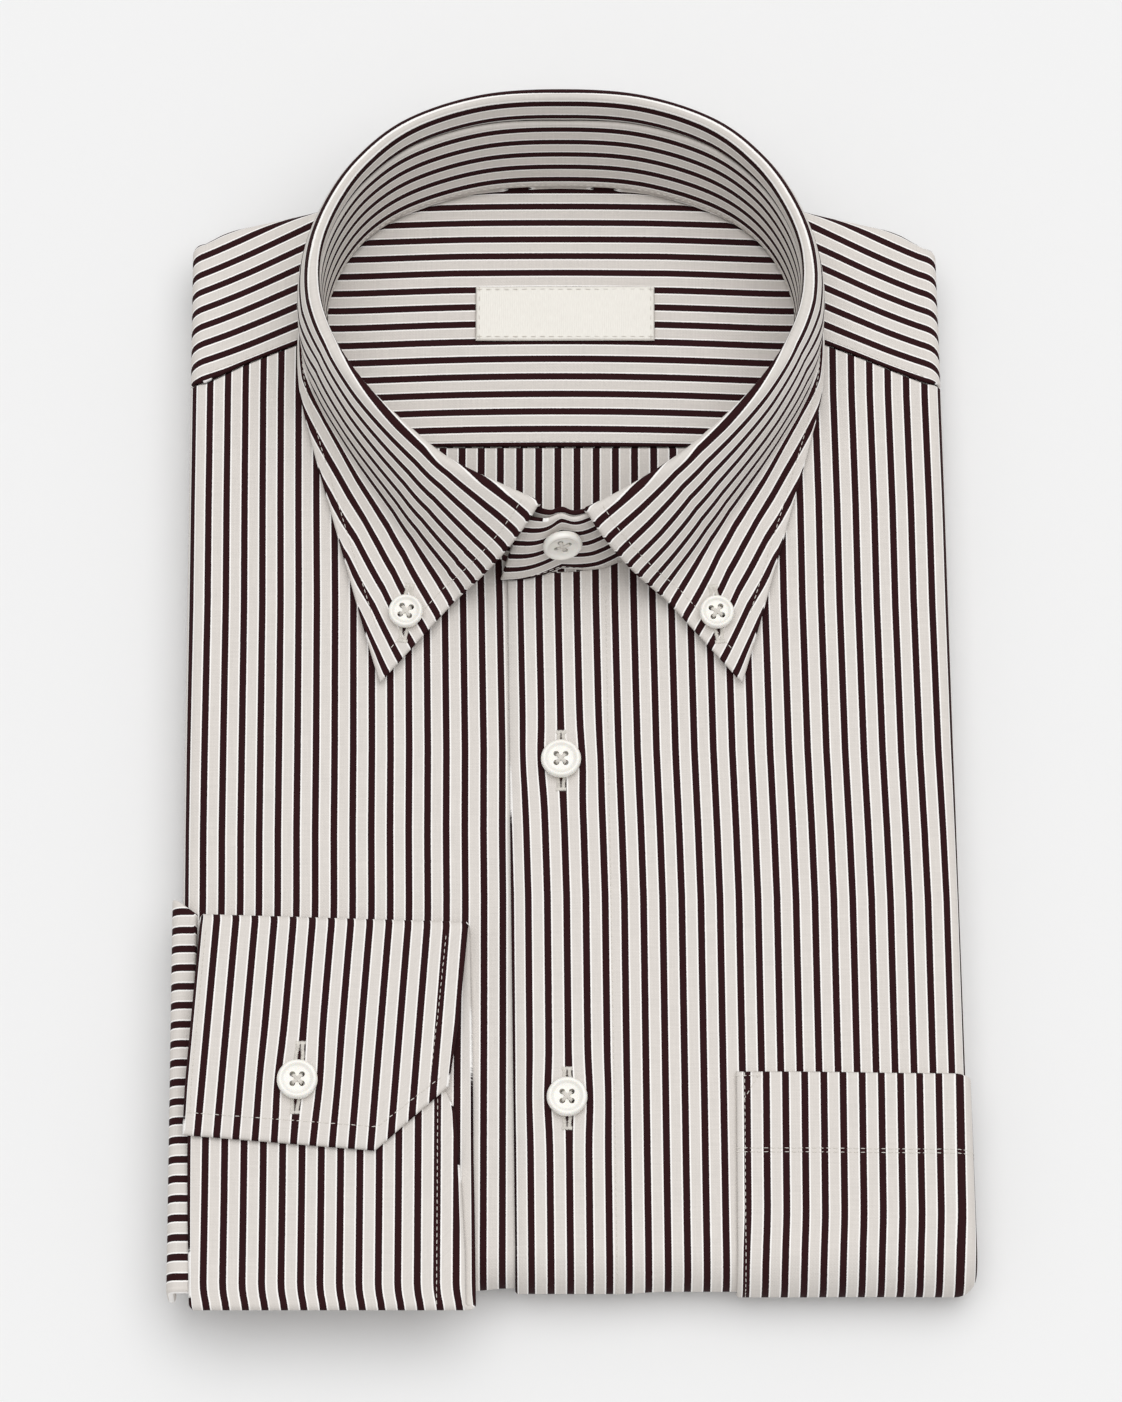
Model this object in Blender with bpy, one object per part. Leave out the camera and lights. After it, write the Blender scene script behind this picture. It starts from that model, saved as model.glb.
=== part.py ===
"""A folded button-down dress shirt, laid on its back, at its real size.

In plan +X is to the right of someone who looks at the shirt, +Y runs to the collar, +Z is up. Sizes are
in millimetres. The cloth is folded by `fold`: it takes a place on the flat cloth, and how deep under the
outside it lies, to a point in space. The flat cloth is the top of the pack, run on past its edges: round
the side folds along u, and round the bottom fold and back under the pack along v.
"""

import math

import bmesh
import bpy
import numpy as np

MM = 0.001

# Cloth
CLOTH = 1.2  # one ply of shirting with its turned edge
COLLAR_CLOTH = 1.4  # two plies and an interlining
GAP = 0.35  # air between two layers that lie on each other
LAYER = CLOTH + GAP
CORE_DEPTH, CORE_DEPTH_UNDER = 2.0, 3.7  # how far the hidden layers stay inside the outer cloth

# The pack, in plan
SIDE_TOP_Y, SIDE_BOTTOM_Y = 127.0, -172.0
SIDE_TOP_X = {-1: -108.4, 1: 110.6}  # -1 is the left side, 1 the right
SIDE_BOTTOM_X = {-1: -107.2, 1: 115.0}
NECK_TOP_Y = 165.5  # the shoulder fold behind the collar
SHOULDER_X, SHOULDER_DROP = 75.0, 11.5  # where the shoulder line leaves the neck, and how far down it is
SHOULDER_SLOPE = 0.21
CORNER_X, CORNER_BEND = 94.0, 0.021  # outside this x the shoulder line bends down to the corner
SHIFT_X, SHIFT_Y = -3.0, -0.37  # puts the middle of the footprint on the origin

# The pack, in height
EDGE_Z = 19.6  # top of the cloth where a side fold starts
CROWN, CROWN_REACH = 1.6, 45.0  # how much the middle stands above that
CORNER_DROP = 2.2
NECK_RISE, NECK_REACH = 1.4, 30.0
BEND_RADIUS = EDGE_Z / 2  # the bottom fold turns the whole thickness
SPLIT = 1.2  # air between the upper and the lower half at the sides
SIDE_TUCK = 4.0  # how far cloth runs in under its fold
HEM_INSET, HEM_CLEAR = 12.0, 3.0  # from the start of the shoulder fold back to the hem on the underside
LAYER_SETBACKS = (2.6, 4.4)  # how far in from the shoulder fold the edges of the two lower layers end

# Front opening
PLACKET_X_TOP, PLACKET_X_BOTTOM = -15.6, -12.8
UNDERLAP_X_TOP, UNDERLAP_X_BOTTOM = 8.0, 15.0
RAMP = 13.0  # width over which the overlap comes down to the single cloth

# Seams
SEAM_NECK_Y, SEAM_SIDE_Y = 113.0, 99.0  # front yoke seam at the neck and at the side
INNER_SEAM_Y = 80.0
BACK_END_Y = 52.0
INNER_DIP, INNER_DIP_LENGTH = 2.4, 75.0  # how the inside of the back sinks from the neck seam to the front

# Collar: one row a section of its right half, from the middle of the back to the middle of the front.
# stand: foot of the stand.  fold: crest of the fold.  knee: where the fall, which drops down beside the
# stand, turns out to lie on the shirt.  edge: free edge of the fall.
# The fall ends one section before the middle of the front.
COLLAR_COLUMNS = (
    "stand_x", "stand_y", "fold_x", "fold_y", "fold_z",
    "knee_x", "knee_y", "knee_z", "edge_x", "edge_y", "edge_z",
)
COLLAR_ROWS = (
    (0.0, 161.0, 0.0, 175.4, 56.0, 0.0, 180.2, 20.0, 0.0, 181.0, 11.0),
    (22.0, 159.7, 23.0, 173.6, 56.0, 26.4, 176.8, 21.5, 28.0, 177.6, 12.5),
    (41.8, 154.0, 43.5, 166.3, 55.9, 50.5, 166.0, 24.5, 55.0, 166.5, 18.5),
    (55.0, 146.3, 57.5, 154.5, 55.8, 64.6, 149.0, 26.0, 70.5, 146.5, 23.6),
    (64.0, 135.0, 66.4, 140.9, 55.7, 71.3, 132.9, 26.0, 75.2, 128.0, 24.4),
    (68.8, 121.0, 71.2, 126.6, 55.5, 74.0, 117.9, 26.0, 76.8, 111.0, 25.0),
    (68.8, 106.0, 71.2, 111.8, 55.3, 73.7, 103.5, 25.8, 76.2, 95.0, 24.6),
    (64.0, 91.0, 66.8, 97.9, 55.0, 69.5, 89.3, 25.6, 72.4, 78.0, 24.2),
    (55.0, 76.5, 57.6, 83.8, 54.6, 62.1, 76.4, 25.5, 67.4, 59.5, 23.9),
    (43.0, 63.0, 45.2, 70.9, 54.0, 53.1, 62.2, 25.4, 62.2, 40.5, 23.8),
    (29.0, 50.5, 30.8, 59.5, 52.6, 43.1, 46.7, 25.2, 57.0, 21.5, 23.7),
    (14.0, 41.2, 6.4, 47.4, 49.7, 29.5, 30.0, 25.0, 52.0, 4.0, 23.6),
    (0.0, 38.9, 0.0, 47.4, 49.6, 29.5, 30.0, 25.0, 52.0, 4.0, 23.6),
)
FRONT_SECTION = len(COLLAR_ROWS) - 1  # the middle of the front, counted in sections
FALL_END_SECTION = FRONT_SECTION - 1
STAND_OVERLAP = 1.2  # how many sections each end of the stand runs past the middle
STAND_LAP_STEP = 2.2  # how far the upper end of the stand lies outside the lower one
STAND_LAP_SECTIONS, STAND_LAP_SHIFT = (11.2, 12.0, 13.2), (0.0, 1.5, -5.8)  # its foot lies askew
STAND_TOP_SECTIONS = (0.0, 3.0, 6.0, 9.0, 11.0, 12.0, 12.5, 13.0, 13.5)
STAND_TOP_BELOW_FOLD = (10.0, 8.5, 5.5, 5.0, 2.6, 2.2, 2.2, 3.4, 5.0)  # at those; its ends are rounded off
FOLD_RADIUS = 1.35
FOLD_SQUARE_SHARE = 0.65  # how square to the stand the fold rolls over; the rest is straight to the knee
KNEE_SWELL = math.radians(20.0)  # how much less steeply than its chord the fall leaves the fold
KNEE_SWELL_REACH = 0.5  # for how much of the way down to the knee
KNEE_SHARPNESS = 4  # how closely the fall follows the corner at its knee

# Pocket
POCKET_LEFT_X, POCKET_TOP_Y = 49.2, -111.7
POCKET_TURN = 0.66  # share of the folds that the pocket goes round

# Sleeve and cuff
SLEEVE_TOP_Y, SLEEVE_BOTTOM_Y = -60.5, -175.8
SLEEVE_THICKNESS = 2.4
SLEEVE_TURN_RADIUS = 1.8
SLEEVE_LOW_Z, SLEEVE_END_LOW_Z = 5.0, 10.5  # how far down the side it goes, at its top and its end
SLEEVE_SLANT, SLEEVE_SLANT_LENGTH = 4.5, 16.0  # how far its top slants down towards the cuff
SLEEVE_ROWS_Y = (-88.0, -100.0, -112.0, -124.0, -136.0, -148.0)
CUFF_LEFT_X, CUFF_RIGHT_X = -102.6, -26.6
CUFF_TOP_Y, CUFF_BOTTOM_Y = -66.5, -180.6
CUFF_CLOTH, CUFF_GAP = 1.5, 0.5
CUFF_FLAP_Y, CUFF_FLAP_CORNER_Y = -131.5, -136.0
CUFF_CUT_X, CUFF_CUT_Y = -45.8, -117.5
CUFF_UNDER_END_Y = -106.0
CUFF_TOP_DROP = 2.4  # how much lower its top is at the right
CUFF_LEAN_Y = (-180.6, -152.6, -135.5, -116.5, -98.3, -70.0, -66.5)
CUFF_FLAP_LEFT_LEAN = (-3.5, -3.5, -3.5, -2.9, -1.6, 0.4, 1.0)  # how far its edges lean aside there
CUFF_FLAP_RIGHT_LEAN = (-7.0, -7.0, -7.0, -4.8, -2.1, 0.4, 0.5)
CUFF_LOWER_LEFT_LEAN = (-0.8, -1.7, -2.0, -2.0, -2.0, -2.0, -2.0)
CUFF_BACK_RIGHT_LEAN = (3.0, 2.5, 2.1, 1.9, 1.6, 0.9, 0.7)
CUFF_UNDER_EDGE_Y = (-180.6, -163.8, -145.0, -131.7, -124.1, -120.3, -117.4, -106.0)
CUFF_UNDER_EDGE_X = (-26.3, -26.6, -27.7, -28.9, -29.6, -31.0, -32.8, -36.0)  # right edge of the lower front
CUFF_FLAP_POINTS, CUFF_LOWER_POINTS = 5, 4

# Label
LABEL_LOW, LABEL_HIGH = (-25.0, 112.8), (27.4, 129.8)
LABEL_CLOTH = 1.0

# Buttons
BUTTON_RADIUS, COLLAR_BUTTON_RADIUS = 5.75, 5.0
BUTTON_THICKNESS = 2.5
BUTTON_SIDES = 18
# From the axis out and back: r as a share of the radius, z as a share of the thickness.
BUTTON_PROFILE = (
    (0.0, 0.0), (0.80, 0.0), (0.97, 0.30), (1.0, 0.55), (0.93, 0.93), (0.84, 1.0),
    (0.74, 0.90), (0.62, 0.74), (0.0, 0.70),
)
THREAD_HOLE_RADIUS, THREAD_HOLE_SPREAD = 0.72, 1.35
FRONT_BUTTONS = ((0.0, -19.1), (1.7, -119.7))
COLLAR_BUTTON = (45.0, 25.2)
CUFF_BUTTON = (-73.9, -116.0)
NECK_BUTTON_SHARE = 0.53  # how far up the stand

# Colours, linear
STRIPED_COTTON = (0.58, 0.55, 0.52)
COTTON_INSIDE = (0.46, 0.43, 0.41)
WOVEN_LABEL = (0.80, 0.77, 0.70)
SHELL_BUTTON = (0.82, 0.80, 0.74)


def smooth(x):
    """0 below 0, 1 above 1, and a soft step between."""
    x = min(1.0, max(0.0, x))
    return x * x * (3 - 2 * x)


def mix(a, b, share):
    return a + (b - a) * share


# ---------------------------------------------------------------- the pack


def side_x(side, y):
    """The outermost x of the pack at this y."""
    return mix(SIDE_BOTTOM_X[side], SIDE_TOP_X[side], (y - SIDE_BOTTOM_Y) / (SIDE_TOP_Y - SIDE_BOTTOM_Y))


def shoulder_y(x):
    """The outermost y of the shoulder fold at this x."""
    x = abs(x)
    near = NECK_TOP_Y - SHOULDER_DROP * min(x / SHOULDER_X, 1.0) ** 1.7
    return near - SHOULDER_SLOPE * max(0.0, x - SHOULDER_X) - CORNER_BEND * max(0.0, x - CORNER_X) ** 2


def edge_z(x, y):
    """Height of the cloth where a fold starts: lower at the shoulder corners."""
    return EDGE_Z - CORNER_DROP * smooth((abs(x) - 70) / 38) * smooth((y - 95) / 50)


def neck_distance(x, y):
    """Roughly how far a point is from the neckline, in plan."""
    return abs(math.hypot(x / 69.0, (y - 100.0) / 61.0) - 1.0) * 64.0


def top_z(x, y):
    """Height of the outside of the cloth on top of the pack."""
    across = min(x - side_x(-1, y), side_x(1, y) - x) - 5.0
    along = min(y - SIDE_BOTTOM_Y - BEND_RADIUS, shoulder_y(x) - y - 5.0)
    crown = CROWN * smooth(across / CROWN_REACH) * smooth(along / CROWN_REACH)
    rise = NECK_RISE * smooth(1 - neck_distance(x, y) / NECK_REACH)
    return edge_z(x, y) + crown + rise * smooth(across / 20)


def roll_radius(z):
    """A fold whose top is at z turns down to the split between the two halves."""
    return (z - BEND_RADIUS - SPLIT / 2) / 2


def roll_start_x(side, y):
    return side_x(side, y) - side * roll_radius(edge_z(side_x(side, y), y))


def roll_start_y(x):
    """Where the shoulder fold starts."""
    y = shoulder_y(x)
    return y - roll_radius(edge_z(x, y))


BEND_Y = SIDE_BOTTOM_Y + BEND_RADIUS  # where the bottom fold starts
BEND_LENGTH = math.pi * BEND_RADIUS


def bend_turn(v):
    """How far round the bottom fold a place of the flat cloth is, from 0 to half a turn."""
    return min(max(BEND_Y - v, 0.0), BEND_LENGTH) / BEND_RADIUS


def side_radius(side, y, under=False):
    """Radius of a side fold; the lower half of the pack lies flat, so that its folds keep one size."""
    return roll_radius(EDGE_Z if under else edge_z(side_x(side, y), y))


def round_side(u, y, under):
    """For a place past a side fold's start: the start, side, turn round the fold, run past it, radius."""
    for side in (-1, 1):
        radius = side_radius(side, y, under)
        start = side_x(side, y) - side * radius
        over = side * (u - start)
        if over > 0:
            turn = min(over / radius, math.pi)
            return start, side, turn, over - turn * radius, radius
    return None


def fold(u, v, depth):
    """A point of the flat cloth in space, this deep under the outside."""
    turn_down = bend_turn(v)
    under = max(BEND_Y - BEND_LENGTH - v, 0.0)
    y = max(v, BEND_Y) if under == 0 else BEND_Y + under
    past = round_side(u, y, under > 0)
    if past is None:
        x = u
        height = (top_z(x, y) if turn_down == 0 else EDGE_Z) - BEND_RADIUS - depth
    else:
        start, side, turn, run, radius = past
        reach = radius - depth
        x = start + side * (reach * math.sin(turn) - run)
        height = radius + SPLIT / 2 + reach * math.cos(turn)
    if turn_down == 0:
        return (x, y, BEND_RADIUS + height)
    if under == 0:
        return (x, BEND_Y - height * math.sin(turn_down), BEND_RADIUS + height * math.cos(turn_down))
    return (x, y, BEND_RADIUS - height)


def past_side(side, share, y, under=False):
    """u of a place this share of the way round a side fold; past 1 it is the tuck behind it."""
    radius = side_radius(side, y, under)
    round_it = math.pi * radius * min(share, 1.0)
    return side_x(side, y) + side * (round_it - radius + SIDE_TUCK * max(share - 1.0, 0.0))


# ---------------------------------------------------------------- meshes


def new_object(name, verts, faces, colour, roughness=0.8):
    """A closed mesh, given in millimetres, as an object with its own material."""
    bm = bmesh.new()
    shift = np.array((SHIFT_X, SHIFT_Y, 0.0))
    points = [bm.verts.new((np.array(point) + shift) * MM) for point in verts]
    for face in faces:
        corners = list(dict.fromkeys(face))
        if len(corners) > 2:
            bm.faces.new([points[i] for i in corners])
    bmesh.ops.remove_doubles(bm, verts=bm.verts, dist=0.00001)
    bmesh.ops.dissolve_degenerate(bm, edges=bm.edges, dist=0.00001)
    bmesh.ops.recalc_face_normals(bm, faces=bm.faces)
    mesh = bpy.data.meshes.new(name)
    bm.to_mesh(mesh)
    bm.free()
    mesh.shade_smooth()
    mesh.set_sharp_from_angle(angle=math.radians(40))
    obj = bpy.data.objects.new(name, mesh)
    bpy.context.scene.collection.objects.link(obj)
    material = bpy.data.materials.new(name + "_material")
    material.use_nodes = True
    shader = material.node_tree.nodes["Principled BSDF"]
    shader.inputs["Base Color"].default_value = (*colour, 1.0)
    shader.inputs["Roughness"].default_value = roughness
    mesh.materials.append(material)
    return obj


def wall(outer, inner):
    """Vertices and faces of a wall between two grids of points of the same size."""
    rows, columns = len(outer), len(outer[0])
    verts = [point for grid in (outer, inner) for row in grid for point in row]
    back = rows * columns

    def at(i, j, side=0):
        return side * back + i * columns + j

    faces = []
    for i in range(rows - 1):
        for j in range(columns - 1):
            ring = [(i, j), (i, j + 1), (i + 1, j + 1), (i + 1, j)]
            faces.append([at(*corner) for corner in ring])
            faces.append([at(*corner, 1) for corner in ring][::-1])
    border = [(0, j) for j in range(columns)]
    border += [(i, columns - 1) for i in range(1, rows)]
    border += [(rows - 1, j) for j in range(columns - 2, -1, -1)]
    border += [(i, 0) for i in range(rows - 2, 0, -1)]
    for a, b in zip(border, border[1:] + border[:1], strict=True):
        faces.append([at(*b), at(*a), at(*a, 1), at(*b, 1)])
    return verts, faces


def cloth(name, places, depth, thickness=CLOTH, colour=STRIPED_COTTON):
    """A ply of cloth over a grid of places (u, v) of the flat cloth; depth(u, v) is that of its outside."""
    grids = [
        [[fold(u, v, depth(u, v) + extra) for u, v in row] for row in places]
        for extra in (0.0, thickness)
    ]
    return new_object(name, *wall(*grids), colour)


# ---------------------------------------------------------------- collar curves


def collar(column, t):
    """A column of the collar table at section t, on a smooth curve; minus t is the left half.

    Past the middle of the front it runs on along the other half.
    """
    index = COLLAR_COLUMNS.index(column)
    mirrored = -1 if column.endswith("_x") else 1
    sign = mirrored if t < 0 else 1
    t = abs(t)

    def value(k):
        if k < 0:
            return mirrored * COLLAR_ROWS[-k][index]
        if k > FRONT_SECTION:
            return mirrored * COLLAR_ROWS[2 * FRONT_SECTION - k][index]
        return COLLAR_ROWS[k][index]

    k = int(t)
    s = t - k
    a, b, c, d = value(k - 1), value(k), value(k + 1), value(k + 2)
    curve = b + 0.5 * s * (c - a + s * (2 * a - 5 * b + 4 * c - d + s * (3 * (b - c) + d - a)))
    return sign * curve


def stand_foot(t):
    """Foot of the stand in plan."""
    return np.array((collar("stand_x", t), collar("stand_y", t)))


def stand_outward(t):
    """Outward in plan, square to the foot of the stand."""
    along = stand_foot(t + 0.05) - stand_foot(t - 0.05)
    return np.array((along[1], -along[0])) / -np.linalg.norm(along)


def fold_crest(t):
    """Top of the stand's middle surface: it lies in from the crest, as the fold rolls outward from it."""
    x, y = np.array((collar("fold_x", t), collar("fold_y", t))) - stand_outward(t) * FOLD_RADIUS
    return np.array((x, y, collar("fold_z", t)))


NECK_SAMPLES = [stand_foot(k * FRONT_SECTION / 200) for k in range(201)]
NECK_WIDEST = max(range(201), key=lambda k: NECK_SAMPLES[k][0])


def neckline_back_y(x):
    xs = [p[0] for p in NECK_SAMPLES[: NECK_WIDEST + 1]]
    return float(np.interp(abs(x), xs, [p[1] for p in NECK_SAMPLES[: NECK_WIDEST + 1]]))


def neckline_front_y(x):
    front = NECK_SAMPLES[NECK_WIDEST:][::-1]
    return float(np.interp(abs(x), [p[0] for p in front], [p[1] for p in front]))


# ---------------------------------------------------------------- fronts and yoke


def seam_y(x):
    """The front yoke seam: a shallow slope from the neck to the side."""
    inner = collar("stand_x", 5.5)
    share = min(max((abs(x) - inner) / (roll_start_x(1, SEAM_SIDE_Y) - inner), 0.0), 1.0)
    return mix(SEAM_NECK_Y, SEAM_SIDE_Y, 0.85 * share + 0.15 * share * share)


def placket_x(y):
    return mix(PLACKET_X_BOTTOM, PLACKET_X_TOP, (y - BEND_Y) / (40.0 - BEND_Y))


def underlap_x(y):
    return mix(UNDERLAP_X_BOTTOM, UNDERLAP_X_TOP, smooth((y + 30.0) / 70.0))


def over_share(x):
    """1 where the left front lies on the right one, and 0 where it lies on the pack."""
    return 1 - smooth((x - UNDERLAP_X_BOTTOM - 1.5) / RAMP)


def under_share(x, y):
    return smooth((x - placket_x(y) + RAMP + 1.5) / RAMP)


def left_depth(u, v):
    """Over the right front the left one stands proud on top, and not on the flat underside."""
    return -LAYER * over_share(u) * (1 - smooth(bend_turn(v) / math.pi))


def right_depth(u, v):
    return LAYER * under_share(u, max(v, BEND_Y)) * smooth(bend_turn(v) / math.pi)


STRAIGHT_Y = 15.0  # below this the columns of the fronts run straight down
FOLD_SHARES = (0.17, 0.33, 0.5, 0.67, 0.83, 1.0, 2.0)
BEND_SHARES = (0.11, 0.22, 0.34, 0.5, 0.66, 0.83, 1.0)
UNDER_SHARES = (0.3, 0.65, 1.0)
# Where each column of a front ends: at a collar section of the neckline, then at an x of the yoke seam,
# and at an x of the bottom fold.
NECK_COLUMNS = (10.65, 10.0, 9.0, 8.0, 7.0, 6.2)
SEAM_COLUMNS_X = (69.4, 80.0, 93.0)
LEFT_FRONT_X = (UNDERLAP_X_BOTTOM + 1.5, 28.5, 36.0, 42.5, POCKET_LEFT_X, 60.0, 71.0, 82.0, 94.0)
RIGHT_FRONT_X = (-8.0, -18.0, -28.0, -38.0, -48.0, -58.0, -68.0, -80.0, -93.0)
ROWS_Y = (-18.0, -50.0, -80.0, POCKET_TOP_Y, -128.0, -146.0)


def front_columns(side, first_top, bottoms):
    """For each column of a front its top end (x, y) and its x at the bottom fold, None along the opening."""
    tops = [first_top]
    tops += [(side * collar("stand_x", t), collar("stand_y", t)) for t in NECK_COLUMNS]
    tops += [(side * x, seam_y(x) - GAP / 2) for x in SEAM_COLUMNS_X]
    return list(zip(tops, (None, *bottoms), strict=True))


def front_places(side, columns, edge_x):
    """A grid of places: down from the neckline and the seam, round the bottom fold and back to the hem."""
    rows = []
    start_y = seam_y(120.0) - GAP / 2

    def row(place_of_column, side_y, v, under=False):
        found = [place_of_column(*column) for column in columns]
        found += [(past_side(side, share, side_y, under), v) for share in (0.0, *FOLD_SHARES)]
        rows.append(found)

    for share in (0.0, 0.3, 0.62, 1.0):
        y_end = mix(start_y, STRAIGHT_Y, share)

        def place(top, bottom, share=share):
            x_low = edge_x(STRAIGHT_Y) if bottom is None else bottom
            return (mix(top[0], x_low, share), mix(top[1], STRAIGHT_Y, share))

        row(place, y_end, y_end)
    for y in (*ROWS_Y, BEND_Y):
        row(lambda top, bottom, y=y: (edge_x(y) if bottom is None else bottom, y), y, y)
    for share in BEND_SHARES:
        v = BEND_Y - BEND_LENGTH * share
        row(lambda top, bottom, v=v: (edge_x(BEND_Y) if bottom is None else bottom, v), BEND_Y, v)
    for share in UNDER_SHARES:

        def place_under(top, bottom, share=share):
            x = edge_x(BEND_Y) if bottom is None else bottom
            y = mix(BEND_Y, roll_start_y(x) - HEM_INSET - HEM_CLEAR, share)
            return (x, BEND_Y - BEND_LENGTH - (y - BEND_Y))

        corner_y = mix(BEND_Y, roll_start_y(roll_start_x(side, 140.0)) - HEM_INSET - HEM_CLEAR, share)
        row(place_under, corner_y, 2 * BEND_Y - BEND_LENGTH - corner_y, True)
    return rows


def make_fronts():
    left_top = (PLACKET_X_TOP, neckline_front_y(PLACKET_X_TOP) - 1.5)
    columns = front_columns(1, left_top, LEFT_FRONT_X)
    places = front_places(1, columns, placket_x)
    cloth("front_left", places, left_depth)
    right_top = (UNDERLAP_X_TOP, neckline_front_y(UNDERLAP_X_TOP))
    columns = front_columns(-1, right_top, RIGHT_FRONT_X)
    cloth("front_right", front_places(-1, columns, underlap_x), right_depth)
    return places


def round_shoulder(x, y, over, outward, depth):
    """A point past the start of the shoulder fold, or past a corner, going out along `outward`."""
    radius = roll_radius(top_z(x, y))
    turn = min(over / radius, math.pi)
    reach = (radius - depth) * math.sin(turn) - (over - turn * radius)
    z = top_z(x, y) - radius + (radius - depth) * math.cos(turn)
    return (x + outward[0] * reach, y + outward[1] * reach, z)


def yoke_point(x, y, side_share, top_share, depth):
    """A point of the yoke; the shares run round the side fold and the shoulder fold, and share a corner."""
    if side_share == 0 and top_share == 0:
        return (x, y, top_z(x, y) - depth)
    radius = roll_radius(top_z(x, y))
    share = max(side_share, top_share)
    over = math.pi * radius * min(share, 1.0) + SIDE_TUCK * max(share - 1.0, 0.0)
    if side_share >= top_share:
        angle = math.pi / 4 * top_share / side_share
    else:
        angle = math.pi / 2 - math.pi / 4 * side_share / top_share
    outward = (math.copysign(math.cos(angle), x) if side_share else 0.0, math.sin(angle))
    return round_shoulder(x, y, over, outward, depth)


YOKE_NECK_SECTIONS = (0.0, 0.75, 1.5, 2.25, 3.0, 3.7, 4.4, 5.1)
YOKE_TOP_X = (0.0, 16.0, 31.0, 45.0, 56.0, 66.0, 75.0, 84.0)
YOKE_ROWS = (0.0, 0.25, 0.5, 0.75, 1.0)


def yoke_column(side, start, top_x):
    """Places from the inner edge of the yoke up to the start of the shoulder fold."""
    top = (side * top_x, roll_start_y(top_x))
    return [(mix(side * start[0], top[0], s), mix(start[1], top[1], s), 0.0, 0.0) for s in YOKE_ROWS]


def make_yoke():
    columns = []
    for side in (-1, 1):
        half = [
            yoke_column(side, (collar("stand_x", t), collar("stand_y", t)), x)
            for t, x in zip(YOKE_NECK_SECTIONS, YOKE_TOP_X, strict=True)
        ]
        half += [
            yoke_column(side, (x, seam_y(x) + GAP / 2), top_x)
            for x, top_x in zip(SEAM_COLUMNS_X, (90.0, 96.0, 100.5), strict=True)
        ]
        edge_start = seam_y(120.0) + GAP / 2
        corner_y = roll_start_y(abs(roll_start_x(side, 140.0)))
        for share in (0.0, *FOLD_SHARES):
            rows = []
            for s in YOKE_ROWS:
                y = mix(edge_start, corner_y, s)
                rows.append((roll_start_x(side, y), y, share, 0.0))
            half.append(rows)
        columns.append(half)
    columns = columns[0][:0:-1] + columns[1]
    for column in columns:
        x, y, side_share, _ = column[-1]
        for share in FOLD_SHARES:
            column.append((x, y, side_share, share))
    grids = [
        [[yoke_point(*place, extra) for place in column] for column in columns] for extra in (0.0, CLOTH)
    ]
    new_object("yoke", *wall(*grids), STRIPED_COTTON)


# ---------------------------------------------------------------- inside the neck


def inner_z(x, y):
    """Height of the inside of the back, seen through the neck: it sinks towards the front."""
    dip = INNER_DIP * smooth((160.0 - y) / INNER_DIP_LENGTH)
    return min(top_z(x, y), top_z(x, neckline_back_y(x))) - LAYER - 0.1 - dip


def inner_grid(rows_of_columns, lift, thickness):
    return [
        [[(x, y, inner_z(x, y) + lift - extra) for x, y in row] for row in rows_of_columns]
        for extra in (0.0, thickness)
    ]


def make_inside():
    widest = NECK_SAMPLES[NECK_WIDEST][0]
    front = NECK_SAMPLES[NECK_WIDEST:][::-1]
    seam_half = float(np.interp(INNER_SEAM_Y, [p[1] for p in front], [p[0] for p in front]))
    places = []
    for k in range(-8, 9):
        x = widest * math.sin(k / 8 * math.pi / 2) * 0.985
        low = INNER_SEAM_Y + GAP / 2 if abs(x) < seam_half else neckline_front_y(x)
        high = neckline_back_y(x) + 1.2
        places.append([(x, mix(low, high, share)) for share in (0.0, 0.2, 0.4, 0.6, 0.8, 1.0)])
    new_object("yoke_inside", *wall(*inner_grid(places, 0.0, CLOTH)), STRIPED_COTTON)
    places = []
    for k in range(-4, 5):
        x = k / 4 * (seam_half - 1.0)
        low = max(BACK_END_Y, neckline_front_y(x) - 2.0)
        places.append([(x, mix(low, INNER_SEAM_Y - GAP / 2, share)) for share in (0.0, 0.35, 0.7, 1.0)])
    new_object("back_inside", *wall(*inner_grid(places, -0.1, CLOTH)), COTTON_INSIDE)


def make_label():
    places = [
        [(mix(LABEL_LOW[0], LABEL_HIGH[0], i / 4), mix(LABEL_LOW[1], LABEL_HIGH[1], j / 2)) for j in range(3)]
        for i in range(5)
    ]
    new_object("label", *wall(*inner_grid(places, LABEL_CLOTH + GAP, LABEL_CLOTH)), WOVEN_LABEL)


# ---------------------------------------------------------------- collar


def outer_top(x, y):
    """Height of the highest cloth at this place, the overlap of the fronts included."""
    lap = over_share(x) if y < 75.0 and x > placket_x(y) - 3.0 else 0.0
    return top_z(x, y) + LAYER * lap


def stand_line(t):
    """Foot and crest of the stand's middle surface, with its overlapping ends stepped apart."""
    over = smooth(abs(t) - FRONT_SECTION + STAND_OVERLAP + 1.0)
    step = stand_outward(t) * STAND_LAP_STEP / 2 * over * math.copysign(1.0, t)
    foot = stand_foot(t) + step + np.array((0.0, np.interp(t, STAND_LAP_SECTIONS, STAND_LAP_SHIFT)))
    crest = fold_crest(t) + np.array((*step, 0.0))
    low = outer_top(*foot) + GAP + 0.15
    return np.array((*foot, low)), crest


def stand_normal(t):
    """Outward, square to the stand."""
    (a, _), (b, _) = stand_line(t - 0.05), stand_line(t + 0.05)
    foot, crest = stand_line(t)
    normal = np.cross(b - a, crest - foot)
    normal /= np.linalg.norm(normal)
    return normal if np.dot(normal[:2], foot[:2] - np.array((0.0, 100.0))) > 0 else -normal


def stand_top_share(t):
    """Where the stand ends below the crest, as a share of the way from its foot."""
    foot, crest = stand_line(t)
    below = np.interp(abs(t), STAND_TOP_SECTIONS, STAND_TOP_BELOW_FOLD)
    return 1 - below / np.linalg.norm(crest - foot)


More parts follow.
